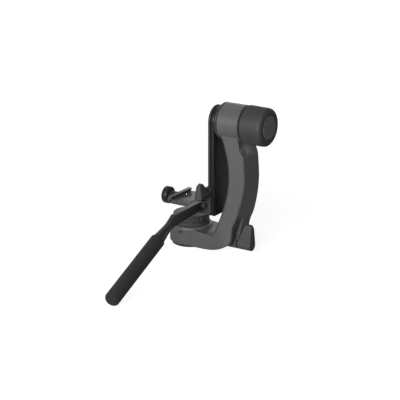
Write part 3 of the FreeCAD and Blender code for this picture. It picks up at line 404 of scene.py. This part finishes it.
bareSteel = {
    "dark": (0.42, 0.42, 0.43), "light": (0.55, 0.55, 0.56), "driftScale": 40.0, "grainScale": 3000.0, "pits": 0.1,
    "fleck": 0.3, "rough": (0.24, 0.38), "rub": 0.3, "rubWidth": 0.2, "rubTone": (0.7, 0.7, 0.7), "dust": 0.05,
    "rings": (4200.0, 0.8), "depth": 0.02, "shader": {"Metallic": 1.0},
}
blackSteel = {
    "dark": 0.035, "light": 0.05, "driftScale": 60.0, "grainScale": 3200.0, "pits": 0.15, "fleck": 0.3,
    "rough": (0.30, 0.42), "rub": 0.6, "rubWidth": 0.2, "rubTone": 0.3, "dust": 0.06, "depth": 0.02,
    "shader": {"Specular IOR Level": 0.45},
}


print("stage 3: shaping tools")

mergeReach = 0.002  # corners closer than this become one
flatAngle = 0.3  # degrees up to which faces count as one plane


def clearSelection():
    if bpy.context.mode != "OBJECT":
        bpy.ops.object.mode_set(mode="OBJECT")
    bpy.ops.object.select_all(action="DESELECT")


def takeUp(piece):
    clearSelection()
    piece.select_set(True)
    bpy.context.view_layer.objects.active = piece


def startEdit(piece):
    takeUp(piece)
    bpy.ops.object.mode_set(mode="EDIT")
    bpy.ops.mesh.select_mode(type="VERT")
    bpy.ops.mesh.select_all(action="SELECT")


def endEdit():
    bpy.ops.object.mode_set(mode="OBJECT")


# the middle of a vertex, edge or face in millimetres
def spotOf(item):
    corners = [item] if isinstance(item, bmesh.types.BMVert) else item.verts
    return sum((corner.co for corner in corners), Vector()) / len(corners) / mm


# selects the vertices, edges or faces for which the test holds
def pick(kind, test):
    bpy.ops.mesh.select_mode(type=kind)
    bpy.ops.mesh.select_all(action="DESELECT")
    mesh = bpy.context.edit_object.data
    shape = bmesh.from_edit_mesh(mesh)
    for item in {"VERT": shape.verts, "EDGE": shape.edges, "FACE": shape.faces}[kind]:
        if test(item):
            item.select_set(True)
    shape.select_flush_mode()
    bmesh.update_edit_mesh(mesh)


def mergeAndFace():
    bpy.ops.mesh.select_all(action="SELECT")
    bpy.ops.mesh.remove_doubles(threshold=mergeReach * mm)
    bpy.ops.mesh.select_all(action="SELECT")
    bpy.ops.mesh.normals_make_consistent(inside=False)


# a CAD node's shape as a clean mesh of its own, ready to be worked on
def copyNode(node, name):
    piece = bpy.data.objects.new(name, frame["nodes"][node].data.copy())
    bpy.context.scene.collection.objects.link(piece)
    piece.data.name = name
    takeUp(piece)
    bpy.ops.mesh.customdata_custom_splitnormals_clear()
    tidyMesh(piece, 0.005)
    return piece


# a chain of edges through the points, drawn on from one vertex
def drawLine(name, points):
    clearSelection()
    bpy.ops.mesh.primitive_plane_add(size=mm, location=(0, 0, 0))
    line = bpy.context.object
    line.name = line.data.name = name
    startEdit(line)
    bpy.ops.mesh.merge(type="CENTER")
    bpy.ops.transform.translate(value=Vector(points[0]) * mm)
    for here, there in zip(points, points[1:]):
        bpy.ops.mesh.extrude_region_move(TRANSFORM_OT_translate={"value": (Vector(there) - Vector(here)) * mm})
    endEdit()
    return line


# a flat outline pushed out to a solid
def drawSolid(name, outline, push):
    solid = drawLine(name, list(outline) + [outline[0]])
    startEdit(solid)
    bpy.ops.mesh.remove_doubles(threshold=mergeReach * mm)
    bpy.ops.mesh.edge_face_add()
    bpy.ops.mesh.extrude_region_move(TRANSFORM_OT_translate={"value": Vector(push) * mm})
    mergeAndFace()
    endEdit()
    return solid


# a solid of revolution: the profile gives distances along the axis and radii
def turned(name, profile, start, along, across, steps):
    start, along, across = Vector(start), Vector(along), Vector(across)
    piece = drawLine(name, [start + along * far + across * radius for far, radius in profile])
    startEdit(piece)
    bpy.ops.mesh.spin(steps=steps, angle=2 * math.pi, center=start * mm, axis=along)
    mergeAndFace()
    endEdit()
    return piece


# points on a quarter of a circle, from one angle to the other, for a profile
def arcOf(centre, radius, fromAngle, toAngle, count):
    turns = [math.radians(fromAngle + (toAngle - fromAngle) * step / count) for step in range(count + 1)]
    return [(centre[0] + radius * math.cos(turn), centre[1] + radius * math.sin(turn)) for turn in turns]


# grooves between ribs: every second strip of a turned piece's side is pushed in
def cutRibs(piece, centre, axis, strips, depth, test):
    centre, axis = Vector(centre), Vector(axis)
    first = Vector(alongZ) if abs(axis.z) < 0.5 else Vector(alongX)
    second = axis.cross(first)
    width = 2 * math.pi / strips

    def isGroove(face):
        away = spotOf(face) - centre
        turn = math.atan2(away.dot(second), away.dot(first)) % (2 * math.pi)
        return test(spotOf(face), face.normal) and int(turn / width) % 2 == 0

    startEdit(piece)
    pick("FACE", isGroove)
    bpy.ops.mesh.extrude_region_shrink_fatten(TRANSFORM_OT_shrink_fatten={"value": -depth * mm})
    bpy.ops.mesh.select_all(action="SELECT")
    bpy.ops.mesh.normals_make_consistent(inside=False)
    endEdit()


def combine(piece, tool, how):
    takeUp(piece)
    change = piece.modifiers.new(how.lower(), "BOOLEAN")
    change.operation = how
    change.solver = "EXACT"
    change.object = tool
    bpy.ops.object.modifier_apply(modifier=change.name)
    bpy.data.objects.remove(tool)


# joins close corners and faces in one plane, and turns every face outwards
def tidyMesh(piece, reach=0.004):
    startEdit(piece)
    bpy.ops.mesh.remove_doubles(threshold=reach * mm)
    bpy.ops.mesh.dissolve_limited(angle_limit=math.radians(flatAngle))
    mergeAndFace()
    endEdit()


def soften(piece, width, segments=2, over=30.0):
    takeUp(piece)
    change = piece.modifiers.new("soften", "BEVEL")
    change.width = width * mm
    change.segments = segments
    change.limit_method = "ANGLE"
    change.angle_limit = math.radians(over)
    bpy.ops.object.modifier_apply(modifier=change.name)


# a CAD node's shape with rounded edges
def softenedCopy(node, name, edge, segments=2):
    piece = copyNode(node, name)
    soften(piece, edge, segments)
    return piece


# a square groove around an axis: ends are distances along it, radii are distances from it
def cutRing(piece, ends, radii, start, along, across, steps):
    (low, high), (inner, outer) = ends, radii
    section = [(low, inner), (low, outer), (high, outer), (high, inner), (low, inner)]
    combine(piece, turned(piece.name + "Groove", section, start, along, across, steps), "DIFFERENCE")


# copies of a tool around an axis, joined to one
def copiedRound(tool, centre, axis, count):
    copies = [tool]
    for index in range(1, count):
        takeUp(tool)
        bpy.ops.object.duplicate(linked=False)
        copy = bpy.context.object
        startEdit(copy)
        bpy.ops.transform.rotate(value=2 * math.pi * index / count, orient_axis=axis,
                                 center_override=Vector(centre) * mm)
        endEdit()
        copies.append(copy)
    clearSelection()
    for copy in copies:
        copy.select_set(True)
    bpy.context.view_layer.objects.active = tool
    bpy.ops.object.join()
    return tool


def cylinderTool(radius, length, middle, rotation, vertices):
    clearSelection()
    bpy.ops.mesh.primitive_cylinder_add(vertices=vertices, radius=radius * mm, depth=length * mm,
                                        location=Vector(middle) * mm, rotation=rotation)
    tool = bpy.context.object
    bpy.ops.object.transform_apply(location=True, rotation=True, scale=True)
    return tool


# the finished piece gets its material and takes the place of its nodes
def settle(piece, nodes, finish, smooth=32.0):
    takeUp(piece)
    bpy.ops.object.shade_smooth_by_angle(angle=math.radians(smooth))
    piece.data.materials.clear()
    piece.data.materials.append(makeLook(piece.name + "Finish", finish))
    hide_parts(*nodes)
    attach(piece, bodyOf[nodes[0]])
    return piece


print("stage 4: the arm and its head")

armSetup = {
    "scoopRadius": 20.0, "scoopCentre": (119.5, 14.5, 177.0), "scoopTop": 190.0,
    "web": ((80.0, 18.0), (88.0, 18.0), (91.2, 21.4), (97.3, 44.0), (100.4, 62.0), (92.0, 62.0)),
    "webHalf": 6.5, "webEdge": 1.0,
    "pocketRadius": 5.6, "pocketSide": 13.4, "pocketLow": (86.3, 18.0), "pocketHigh": (91.6, 35.0),
    "pocketDepth": 5.5, "pocketTool": 20.0,
    "screwTurn": -86.5, "screwHeight": 25.7, "screwRing": ((33.4, 38.4), (3.0, 3.6)),
    "innerRound": 3.3, "innerSpan": (46.0, 185.0), "innerReach": 92.0, "innerHalf": 14.0, "innerAngles": (30.0, 60.0),
    "finish": {**paintedCasting},
}


# the sharp lines on either side of the long chamfer on the inside of the bow
def isBrokenEdge(edge, setup):
    spot = spotOf(edge)
    normals = [face.normal for face in edge.link_faces]
    low, high = setup["innerSpan"]
    if len(normals) != 2 or not low < spot.z < high or spot.x > setup["innerReach"] or abs(spot.y) < setup["innerHalf"]:
        return False
    least, most = setup["innerAngles"]
    return math.radians(least) < normals[0].angle(normals[1]) < math.radians(most)


# bowls under the big knob, a web to the lock's boss and the pocket beside it
def makeArm(setup):
    arm = copyNode("arm", "armCasting")
    low, high = (Vector((x, 0, z)) for x, z in (setup["pocketLow"], setup["pocketHigh"]))
    slope = (high - low).normalized()
    out = Vector((slope.z, 0, -slope.x))
    half = setup["webHalf"]
    web = drawSolid("cornerWeb", [(x, -half, z) for x, z in setup["web"]], (0, 2 * half, 0))
    soften(web, setup["webEdge"], 3)
    combine(arm, web, "UNION")
    for side in (-1, 1):
        x, y, z = setup["scoopCentre"]
        clearSelection()
        bpy.ops.mesh.primitive_uv_sphere_add(segments=64, ring_count=40, radius=setup["scoopRadius"] * mm,
                                             location=Vector((x, side * y, z)) * mm)
        scoop = bpy.context.object
        bpy.ops.object.transform_apply(location=True)
        startEdit(scoop)
        bpy.ops.mesh.bisect(plane_co=(0, 0, setup["scoopTop"] * mm), plane_no=alongZ, use_fill=True,
                            clear_outer=True)
        mergeAndFace()
        endEdit()
        combine(arm, scoop, "DIFFERENCE")
    length = setup["pocketTool"]
    middle = low - Vector((0, setup["pocketSide"], 0)) + out * (length / 2 - setup["pocketDepth"])
    pocket = cylinderTool(setup["pocketRadius"], length, middle, (0, math.atan2(out.x, out.z), 0), 64)
    startEdit(pocket)
    pick("VERT", lambda corner: (spotOf(corner) - middle).dot(slope) > 0.01)
    bpy.ops.transform.translate(value=(high - low) * mm)
    endEdit()
    combine(arm, pocket, "DIFFERENCE")
    turn = math.radians(setup["screwTurn"])
    cutRing(arm, *setup["screwRing"], (0, 0, setup["screwHeight"]), (math.cos(turn), math.sin(turn), 0), alongZ, 48)
    tidyMesh(arm)
    startEdit(arm)
    pick("EDGE", lambda edge: isBrokenEdge(edge, setup))
    bpy.ops.mesh.bevel(offset=setup["innerRound"] * mm, segments=4, profile=0.5, affect="EDGES",
                       clamp_overlap=True)
    endEdit()
    return arm


settle(makeArm(armSetup), ["arm"], armSetup["finish"])

endRingSetup = {
    "edge": 0.3, "groove": ((63.3, 65.4), (26.9, 31.0)),
    "finish": {**anodisedAlloy, "centre": (0, 0, tiltHeight), "rings": (2600.0, 0.6)},
}
endRing = softenedCopy("tilt_end_ring", "headEndRing", endRingSetup["edge"])
cutRing(endRing, *endRingSetup["groove"], (0, 0, tiltHeight), alongX, alongZ, 96)
settle(endRing, ["tilt_end_ring"], endRingSetup["finish"])


print("stage 5: the tension knob")

tiltKnobSetup = {
    "start": 102.6, "length": 38.8, "radius": 30.2, "frontRadius": 29.7,
    "inside": ((24, 0), (24, 6.5), (15, 6.5), (15, 10), (0, 10), (0, 15), (29, 15), (29, 25.2)),
    "skirtBack": 2.0, "skirtRadius": 25.2, "skirtRim": ((0, 0.6), (0.2, 0.2), (0.6, 0)),
    "strips": 120, "ribDepth": 0.8, "ribStart": 3.2, "ribEnd": 32.0,
    "noseLength": 5.8, "noseDepth": 7.0, "noseTurns": (0.2, 0.45, 0.7, 0.95, 1.2, 1.4),
    "faceOuter": 21.6, "faceInner": 20.3, "recessRadius": 19.9, "recessEdge": 0.4, "recessDepth": 1.6,
    "finish": {**mouldedPlastic, "dark": 0.036, "light": 0.043, "rough": (0.5, 0.64), "grainScale": 1700.0},
}


# a hollow knob with a round nose, a ribbed side and a recess for its end disc
def makeTiltKnob(setup):
    length, radius, front = setup["length"], setup["radius"], setup["frontRadius"]
    back, recess = setup["skirtBack"], setup["recessRadius"]
    profile = [*setup["inside"], (back, setup["skirtRadius"])]
    profile += [(back + far, radius - step) for far, step in setup["skirtRim"]]
    profile += [(setup["ribStart"], radius), (setup["ribEnd"], front + 0.05)]
    nose, depth = setup["noseLength"], setup["noseDepth"]
    profile += [(length - nose + nose * math.sin(turn), front - depth + depth * math.cos(turn))
                for turn in setup["noseTurns"]]
    profile += [(length, setup["faceOuter"]), (length, setup["faceInner"]), (length - setup["recessEdge"], recess),
                (length - setup["recessDepth"], recess), (length - setup["recessDepth"], 0)]
    centre = (setup["start"], 0, tiltHeight)
    knob = turned("tensionKnob", profile, centre, alongX, alongZ, setup["strips"])
    low, high = setup["start"] + setup["ribStart"] - 0.1, setup["start"] + setup["ribEnd"]
    cutRibs(knob, centre, alongX, setup["strips"], setup["ribDepth"],
            lambda spot, normal: low < spot.x < high and abs(normal.x) < 0.3
            and math.hypot(spot.y, spot.z - tiltHeight) > radius - 2)
    return knob


settle(makeTiltKnob(tiltKnobSetup), ["tilt_knob"], tiltKnobSetup["finish"])

discSetup = {
    "start": 139.8, "radius": 18.8, "thickness": 1.6, "back": 0.2,
    "face": ((0.45, 0), (0.1, 0.35), (0, 0.8), (0.05, 4)),  # in from the front and in from the rim
    "dish": ((0.12, 0.4), (0.14, 0)),  # in from the front and share of the radius
    "finish": {**anodisedAlloy, "dark": 0.10, "light": 0.115, "centre": (0, 0, tiltHeight), "rings": (1500.0, 0.9),
               "rough": (0.34, 0.46), "rubTone": 0.3},
}


def makeDisc(setup):
    radius, thick, back = setup["radius"], setup["thickness"], setup["back"]
    profile = [(0, 0), (0, radius - back), (back, radius)]
    profile += [(thick - deep, radius - step) for deep, step in setup["face"]]
    profile += [(thick - deep, radius * share) for deep, share in setup["dish"]]
    return turned("knobDisc", profile, (setup["start"], 0, tiltHeight), alongX, alongZ, 96)


settle(makeDisc(discSetup), ["tilt_knob_disc"], discSetup["finish"])


print("stage 6: the pan dial and its seat")

dialSetup = {
    "bottom": 39.2, "height": 10.0, "radius": 28.8, "edge": 1.4, "capRadius": 19.0, "capDepth": 1.0, "capLip": 0.25,
    "boreRadius": 22.05, "boreHeight": 7.0, "notches": 12, "notchRadius": 1.7, "notchTurn": -57.5,
    "notchLow": 41.6, "notchLength": 6.0, "notchOut": 0.6, "notchEdge": 0.8,
    "finish": {**anodisedAlloy, "axis": "Z", "rings": (2300.0, 0.5)},
}


def makeDial(setup):
    low, high, radius, edge = setup["bottom"], setup["bottom"] + setup["height"], setup["radius"], setup["edge"]
    profile = [(high - setup["capDepth"], 0), (high - setup["capDepth"], setup["capRadius"]),
               (high - setup["capLip"], setup["capRadius"]), (high, setup["capRadius"] + setup["capLip"])]
    profile += arcOf((high - edge, radius - edge), edge, 0, 90, 5)
    profile += arcOf((low + edge, radius - edge), edge, 90, 180, 5)
    profile += [(low, setup["boreRadius"]), (low + setup["boreHeight"], setup["boreRadius"]),
                (low + setup["boreHeight"], 0)]
    dial = turned("panDial", profile, (0, 0, 0), alongZ, alongX, 144)
    turn = math.radians(setup["notchTurn"])
    reach = radius + setup["notchOut"]
    middle = (reach * math.cos(turn), reach * math.sin(turn), setup["notchLow"] + setup["notchLength"] / 2)
    notch = cylinderTool(setup["notchRadius"], setup["notchLength"], middle, (0, 0, 0), 24)
    soften(notch, setup["notchEdge"], 3)
    combine(dial, copiedRound(notch, (0, 0, 0), "Z", setup["notches"]), "DIFFERENCE")
    return dial


settle(makeDial(dialSetup), ["pan_dial"], dialSetup["finish"])

seatSetup = {
    "edge": 0.25, "grooves": ((33.0, 34.4), (37.8, 39.2)), "grooveRadii": (26.6, 31.0),
    "finish": {**anodisedAlloy, "dark": 0.046, "light": 0.058, "axis": "Z", "rings": (2500.0, 0.6)},
}
seat = softenedCopy("dial_seat_ring", "dialSeat", seatSetup["edge"])
for ends in seatSetup["grooves"]:
    cutRing(seat, ends, seatSetup["grooveRadii"], (0, 0, 0), alongZ, alongX, 96)
settle(seat, ["dial_seat_ring"], seatSetup["finish"])

capSetup = {
    "edge": 0.15,
    "finish": {**anodisedAlloy, "dark": 0.055, "light": 0.07, "axis": "Z", "rings": (1800.0, 1.0)},
}
settle(softenedCopy("pan_dial_cap", "dialCap", capSetup["edge"]), ["pan_dial_cap"], capSetup["finish"])

baseSetup = {
    "edge": 0.35,
    "finish": {**anodisedAlloy, "dark": 0.010, "light": 0.014, "axis": "Z", "rings": (2000.0, 0.8)},
}
settle(softenedCopy("base_plate", "basePlate", baseSetup["edge"]), ["base_plate"], baseSetup["finish"])


print("stage 7: the swing plate and its rail")

plateSetup = {
    "halfWidth": 23.4, "outerFace": 56.8, "bottom": 57.0, "taperTop": 158.0, "taperIn": 2.8, "taperSide": 4.6,
    "holeHalf": 3.0, "holeSpan": (62.0, 180.0), "edge": 0.45,
    "finish": {**anodisedAlloy, "dark": 0.010, "light": 0.014},
}


# the plate's two long outer edges are cut back more and more towards the foot, and its screw holes are closed
def makePlate(setup):
    plate = copyNode("swing_plate", "swingPlate")
    for side in (-1, 1):
        top = Vector((setup["outerFace"], side * setup["halfWidth"], setup["taperTop"]))
        low = Vector((setup["outerFace"] - setup["taperIn"], side * setup["halfWidth"], setup["bottom"]))
        inner = Vector((setup["outerFace"], side * (setup["halfWidth"] - setup["taperSide"]), setup["bottom"]))
        normal = (low - top).cross(inner - top).normalized()
        if normal.x < 0:
            normal = -normal
        startEdit(plate)
        bpy.ops.mesh.bisect(plane_co=top * mm, plane_no=normal, use_fill=True, clear_outer=True)
        mergeAndFace()
        endEdit()
    low, high = setup["holeSpan"]
    startEdit(plate)
    pick("FACE", lambda face: abs(spotOf(face).y) < setup["holeHalf"] and low < spotOf(face).z < high
         and abs(face.normal.x) < 0.5 and abs(face.normal.z) < 0.999)
    bpy.ops.mesh.delete(type="FACE")
    bpy.ops.mesh.select_all(action="SELECT")
    bpy.ops.mesh.fill_holes(sides=0)
    mergeAndFace()
    endEdit()
    soften(plate, setup["edge"], 2)
    return plate


settle(makePlate(plateSetup), ["swing_plate"], plateSetup["finish"], smooth=20.0)

railSetup = {
    "neck": (49.25, 52.15), "neckReach": 19.1, "neckShare": 0.62, "edge": 0.35,
    "finish": {**anodisedAlloy, "dark": 0.028, "light": 0.036},
}


# the rail's undercut towards the plate is made deeper, straight below the tilt axis and round above it
def makeRail(setup):
    rail = copyNode("slide_rail", "slideRail")
    low, high = setup["neck"]
    share = setup["neckShare"]

    def reachOf(corner, above):
        across = corner.co / mm
        return math.hypot(across.y, across.z - tiltHeight if above else 0)

    startEdit(rail)
    for above in (False, True):
        pick("FACE", lambda face: low < spotOf(face).x < high and abs(face.normal.x) < 0.1
             and (spotOf(face).z > tiltHeight) == above
             and max(reachOf(corner, above) for corner in face.verts) > setup["neckReach"])
        bpy.ops.transform.resize(value=(1, share, share if above else 1),
                                 center_override=Vector((0, 0, tiltHeight)) * mm)
    endEdit()
    soften(rail, setup["edge"], 2)
    return rail


settle(makeRail(railSetup), ["slide_rail"], railSetup["finish"])

flangeSetup = {"edge": 0.3, "finish": {**anodisedAlloy, "centre": (0, 0, tiltHeight), "rings": (2400.0, 0.7)}}
settle(softenedCopy("tilt_flange", "tiltFlange", flangeSetup["edge"]), ["tilt_flange"], flangeSetup["finish"])


print("stage 8: the bracket and the lens clamp")

bracketSetup = {"edge": 0.5, "finish": {**anodisedAlloy, "dark": 0.044, "light": 0.054}}
settle(softenedCopy("slide_bracket", "slideBracket", bracketSetup["edge"]), ["slide_bracket"], bracketSetup["finish"])

clampSetup = {"edge": 0.4, "finish": {**anodisedAlloy, "dark": 0.052, "light": 0.064}}
settle(softenedCopy("clamp_body", "clampBody", clampSetup["edge"]), ["clamp_body"], clampSetup["finish"])

jawSetup = {"edge": 0.4, "finish": {**anodisedAlloy, "dark": 0.046, "light": 0.056}}
settle(softenedCopy("moving_jaw", "movingJaw", jawSetup["edge"]), ["moving_jaw"], jawSetup["finish"])

clampKnobSetup = {
    "start": -49.3, "radius": 13.6, "length": 10.6, "strips": 80, "ribDepth": 0.5,
    "bore": (3, 2.5),  # its depth and radius
    "front": ((0, 1.9), (0.3, 1.0), (1.0, 0.3), (1.8, 0)),  # in from the end and in from the radius
    "back": ((1.8, 0), (0.9, 0.35), (0.3, 1.0), (0, 1.8), (0, 3.6), (0.7, 4.3)),
    "finish": {**anodisedAlloy, "dark": 0.012, "light": 0.016, "centre": (0, 0, clampHeight), "rings": (2200.0, 0.6)},
}


def makeClampKnob(setup):
    radius, length, (deep, bore) = setup["radius"], setup["length"], setup["bore"]
    profile = [(deep, 0), (deep, bore), (length, bore)]
    profile += [(length - far, radius - step) for far, step in setup["front"]]
    profile += [(far, radius - step) for far, step in setup["back"]]
    profile += [(setup["back"][-1][0], 0)]
    centre = (setup["start"], 0, clampHeight)
    knob = turned("clampKnob", profile, centre, alongX, alongZ, setup["strips"])
    cutRibs(knob, centre, alongX, setup["strips"], setup["ribDepth"],
            lambda spot, normal: abs(normal.x) < 0.1 and math.hypot(spot.y, spot.z - clampHeight) > radius - 1)
    return knob


settle(makeClampKnob(clampKnobSetup), ["clamp_knob"], clampKnobSetup["finish"])

collarSetup = {
    "edge": 0.3,
    "finish": {**anodisedAlloy, "dark": 0.008, "light": 0.012, "centre": (0, 0, clampHeight), "rings": (2200.0, 0.7)},
}
settle(softenedCopy("clamp_collar", "clampCollar", collarSetup["edge"]), ["clamp_collar"], collarSetup["finish"])


print("stage 9: the two wing knobs")

# the middle of each hub's end and its direction; the ring around its cap and the gap behind the wing,
# as distances along the hub and radii
panLockSetup = {
    "front": (113.6, 0, lockHeight), "direction": alongX, "edge": 1.5,
    "capRing": ((-0.8, 2.0), (5.25, 5.95)), "gap": ((-25.8, -23.2), (5.2, 40.0)),
    "finish": {**mouldedPlastic, "dark": 0.044, "light": 0.053},
}
slideLockSetup = {
    "front": (46.9, -53.3, 94.8), "direction": (0, -1, 0), "edge": 0.9,
    "capRing": ((-0.8, 2.0), (4.85, 5.55)), "gap": ((-27.0, -25.6), (5.2, 40.0)),
    "finish": {**mouldedPlastic, "dark": 0.044, "light": 0.053},
}


# a hub and wing with rounded edges, and both rings cut into it
def makeWing(node, name, setup):
    wing = softenedCopy(node, name, setup["edge"], 3)
    for ends, radii in (setup["capRing"], setup["gap"]):
        cutRing(wing, ends, radii, setup["front"], setup["direction"], alongZ, 48)
    return wing


settle(makeWing("pan_lock_knob", "panLockWing", panLockSetup), ["pan_lock_knob"], panLockSetup["finish"])
settle(makeWing("slide_lock_knob", "slideLockWing", slideLockSetup), ["slide_lock_knob"], slideLockSetup["finish"])


print("stage 10: the pan handle")

handleSetup = {
    "eye": (41.8, -35.2, 76.9), "yaw": 3.8, "slope": 20.7, "bend": (0, -88.0, 1.3), "gripStart": 48.0,
    "edge": 0.7,
    "finish": {**paintedCasting, "dark": 0.012, "light": 0.016, "rough": (0.36, 0.48)},
}
gripSetup = {
    "radius": 11.3, "length": 142.5, "shoulder": 2.2, "end": 6.0, "boreRadius": 5.5, "boreLength": 70.0,
    "bands": (0.15, 0.3, 0.45, 0.6, 0.75, 0.88),  # shares of the length at which the foam's surface is divided
    "finish": {"foam": True, "axis": "Y", "dark": 0.010, "light": 0.014, "driftScale": 30.0, "grainScale": 1100.0,
               "fleck": 0.5, "fleckTone": 0.02, "rough": (0.82, 0.95), "rub": 0.2, "rubWidth": 0.6, "rubTone": 0.04,
               "rubGloss": 0.0,
               "dust": 0.06, "dustTone": (0.12, 0.117, 0.112), "depth": 0.12, "bump": 0.7,
               "shader": {"Specular IOR Level": 0.25, "Sheen Weight": 0.06, "Sheen Roughness": 0.5}},
}


# a point of the bar's own drawing, from its eye on, in the part's frame
def handlePoint(setup, point):
    turn = math.radians(setup["yaw"])
    x, y, z = point
    return Vector(setup["eye"]) + Vector((x * math.cos(turn) - y * math.sin(turn),
                                          x * math.sin(turn) + y * math.cos(turn), z))


# a foam tube around the bar's tenon, with a drawn-in shoulder and a round end
def makeGrip(handle, setup):
    slope = math.radians(handle["slope"])
    down = Vector((0, -math.cos(slope), -math.sin(slope)))
    top = Vector(handle["bend"]) + down * handle["gripStart"]
    start = handlePoint(handle, top)
    along = (handlePoint(handle, top + down) - start).normalized()
    across = along.cross(Vector(alongX)).normalized()
    radius, length, shoulder, end = setup["radius"], setup["length"], setup["shoulder"], setup["end"]
    profile = [(setup["boreLength"], 0), (setup["boreLength"], setup["boreRadius"]), (0, setup["boreRadius"]),
               (0, radius - shoulder)]
    profile += arcOf((shoulder, radius - shoulder), shoulder, 165, 90, 5)
    profile += [(length * share, radius) for share in setup["bands"]]
    profile += arcOf((length - end, radius - end), end, 90, 0, 8)
    profile += [(length, 0)]
    return turned("foamGrip", profile, start, along, across, 96)


settle(softenedCopy("handle_bar", "handleBar", handleSetup["edge"], 3), ["handle_bar"], handleSetup["finish"])
grip = settle(makeGrip(handleSetup, gripSetup), ["handle_grip"], gripSetup["finish"])


print("stage 11: finishes of the pieces that keep their shape")

keptFinishes = {
    "thread_insert": {**bareSteel, "axis": "Z"},
    "base_screws": {**blackSteel},
    "pan_spindle": {**bareSteel, "axis": "Z"},
    "spindle_nut": {**bareSteel, "axis": "Z", "dark": (0.36, 0.36, 0.37)},
    "spring_washers": {**bareSteel, "axis": "Z", "dark": (0.22, 0.23, 0.25), "light": (0.32, 0.33, 0.36)},
    "clutch_disc": {**mouldedPlastic, "dark": (0.24, 0.19, 0.09), "light": (0.32, 0.26, 0.13), "axis": "Z"},
    "thrust_washer": {**mouldedPlastic, "dark": (0.28, 0.22, 0.11), "light": (0.34, 0.28, 0.15)},
    "pan_bearings": {**bareSteel, "axis": "Z", "rough": (0.14, 0.24)},
    "brake_shoe": {**mouldedPlastic, "dark": (0.26, 0.20, 0.10), "light": (0.33, 0.27, 0.14),
                   "centre": (0, 0, lockHeight)},
    "set_screws": {**blackSteel, "dark": 0.04, "light": 0.055},
    "tilt_bearings": {**bareSteel, "centre": (0, 0, tiltHeight), "rough": (0.14, 0.24)},
    "bearing_spacer": {**bareSteel, "centre": (0, 0, tiltHeight), "dark": (0.5, 0.5, 0.51)},
    "friction_disc": {**mouldedPlastic, "dark": (0.23, 0.18, 0.09), "light": (0.3, 0.25, 0.13)},
    "pan_lock_screw": {**bareSteel, "centre": (0, 0, lockHeight)},
    "tilt_shaft": {**bareSteel, "centre": (0, 0, tiltHeight), "light": (0.6, 0.6, 0.61)},
    "knob_washer": {**mouldedPlastic, "dark": 0.012, "light": 0.016, "centre": (0, 0, tiltHeight)},
    "flange_screws": {**blackSteel, "rub": 0.7},
    "rail_screws": {**blackSteel, "rub": 0.65},
    "stop_pins": {**bareSteel, "dark": (0.3, 0.3, 0.31), "light": (0.42, 0.42, 0.43)},
    "tilt_knob_insert": {**bareSteel, "centre": (0, 0, tiltHeight), "dark": (0.5, 0.37, 0.16),
                         "light": (0.62, 0.47, 0.22)},
    "foot_screws": {**blackSteel, "dark": 0.03},
    "slide_gib": {**bareSteel, "dark": (0.52, 0.39, 0.17), "light": (0.64, 0.49, 0.23)},
    "floor_screw": {**bareSteel, "axis": "Z", "centre": (-14.8, 8.8, 0), "dark": (0.72, 0.72, 0.72),
                    "light": (0.85, 0.85, 0.85), "rough": (0.12, 0.2)},
    "handle_bolt": {**blackSteel, "dark": 0.04, "rub": 0.75},
    "handle_washer": {**blackSteel, "dark": 0.05, "light": 0.06},
    "slide_lock_screw": {**bareSteel, "axis": "Y", "centre": (46.9, 0, 94.8)},
    "guide_pins": {**bareSteel, "light": (0.62, 0.62, 0.63)},
    "clamp_screw": {**bareSteel, "centre": (0, 0, clampHeight), "dark": (0.4, 0.4, 0.41)},
}
for node, finish in keptFinishes.items():
    look = makeLook(node.replace("_", ".") + ".finish", finish)
    for slot in frame["nodes"][node].material_slots:
        slot.material = look
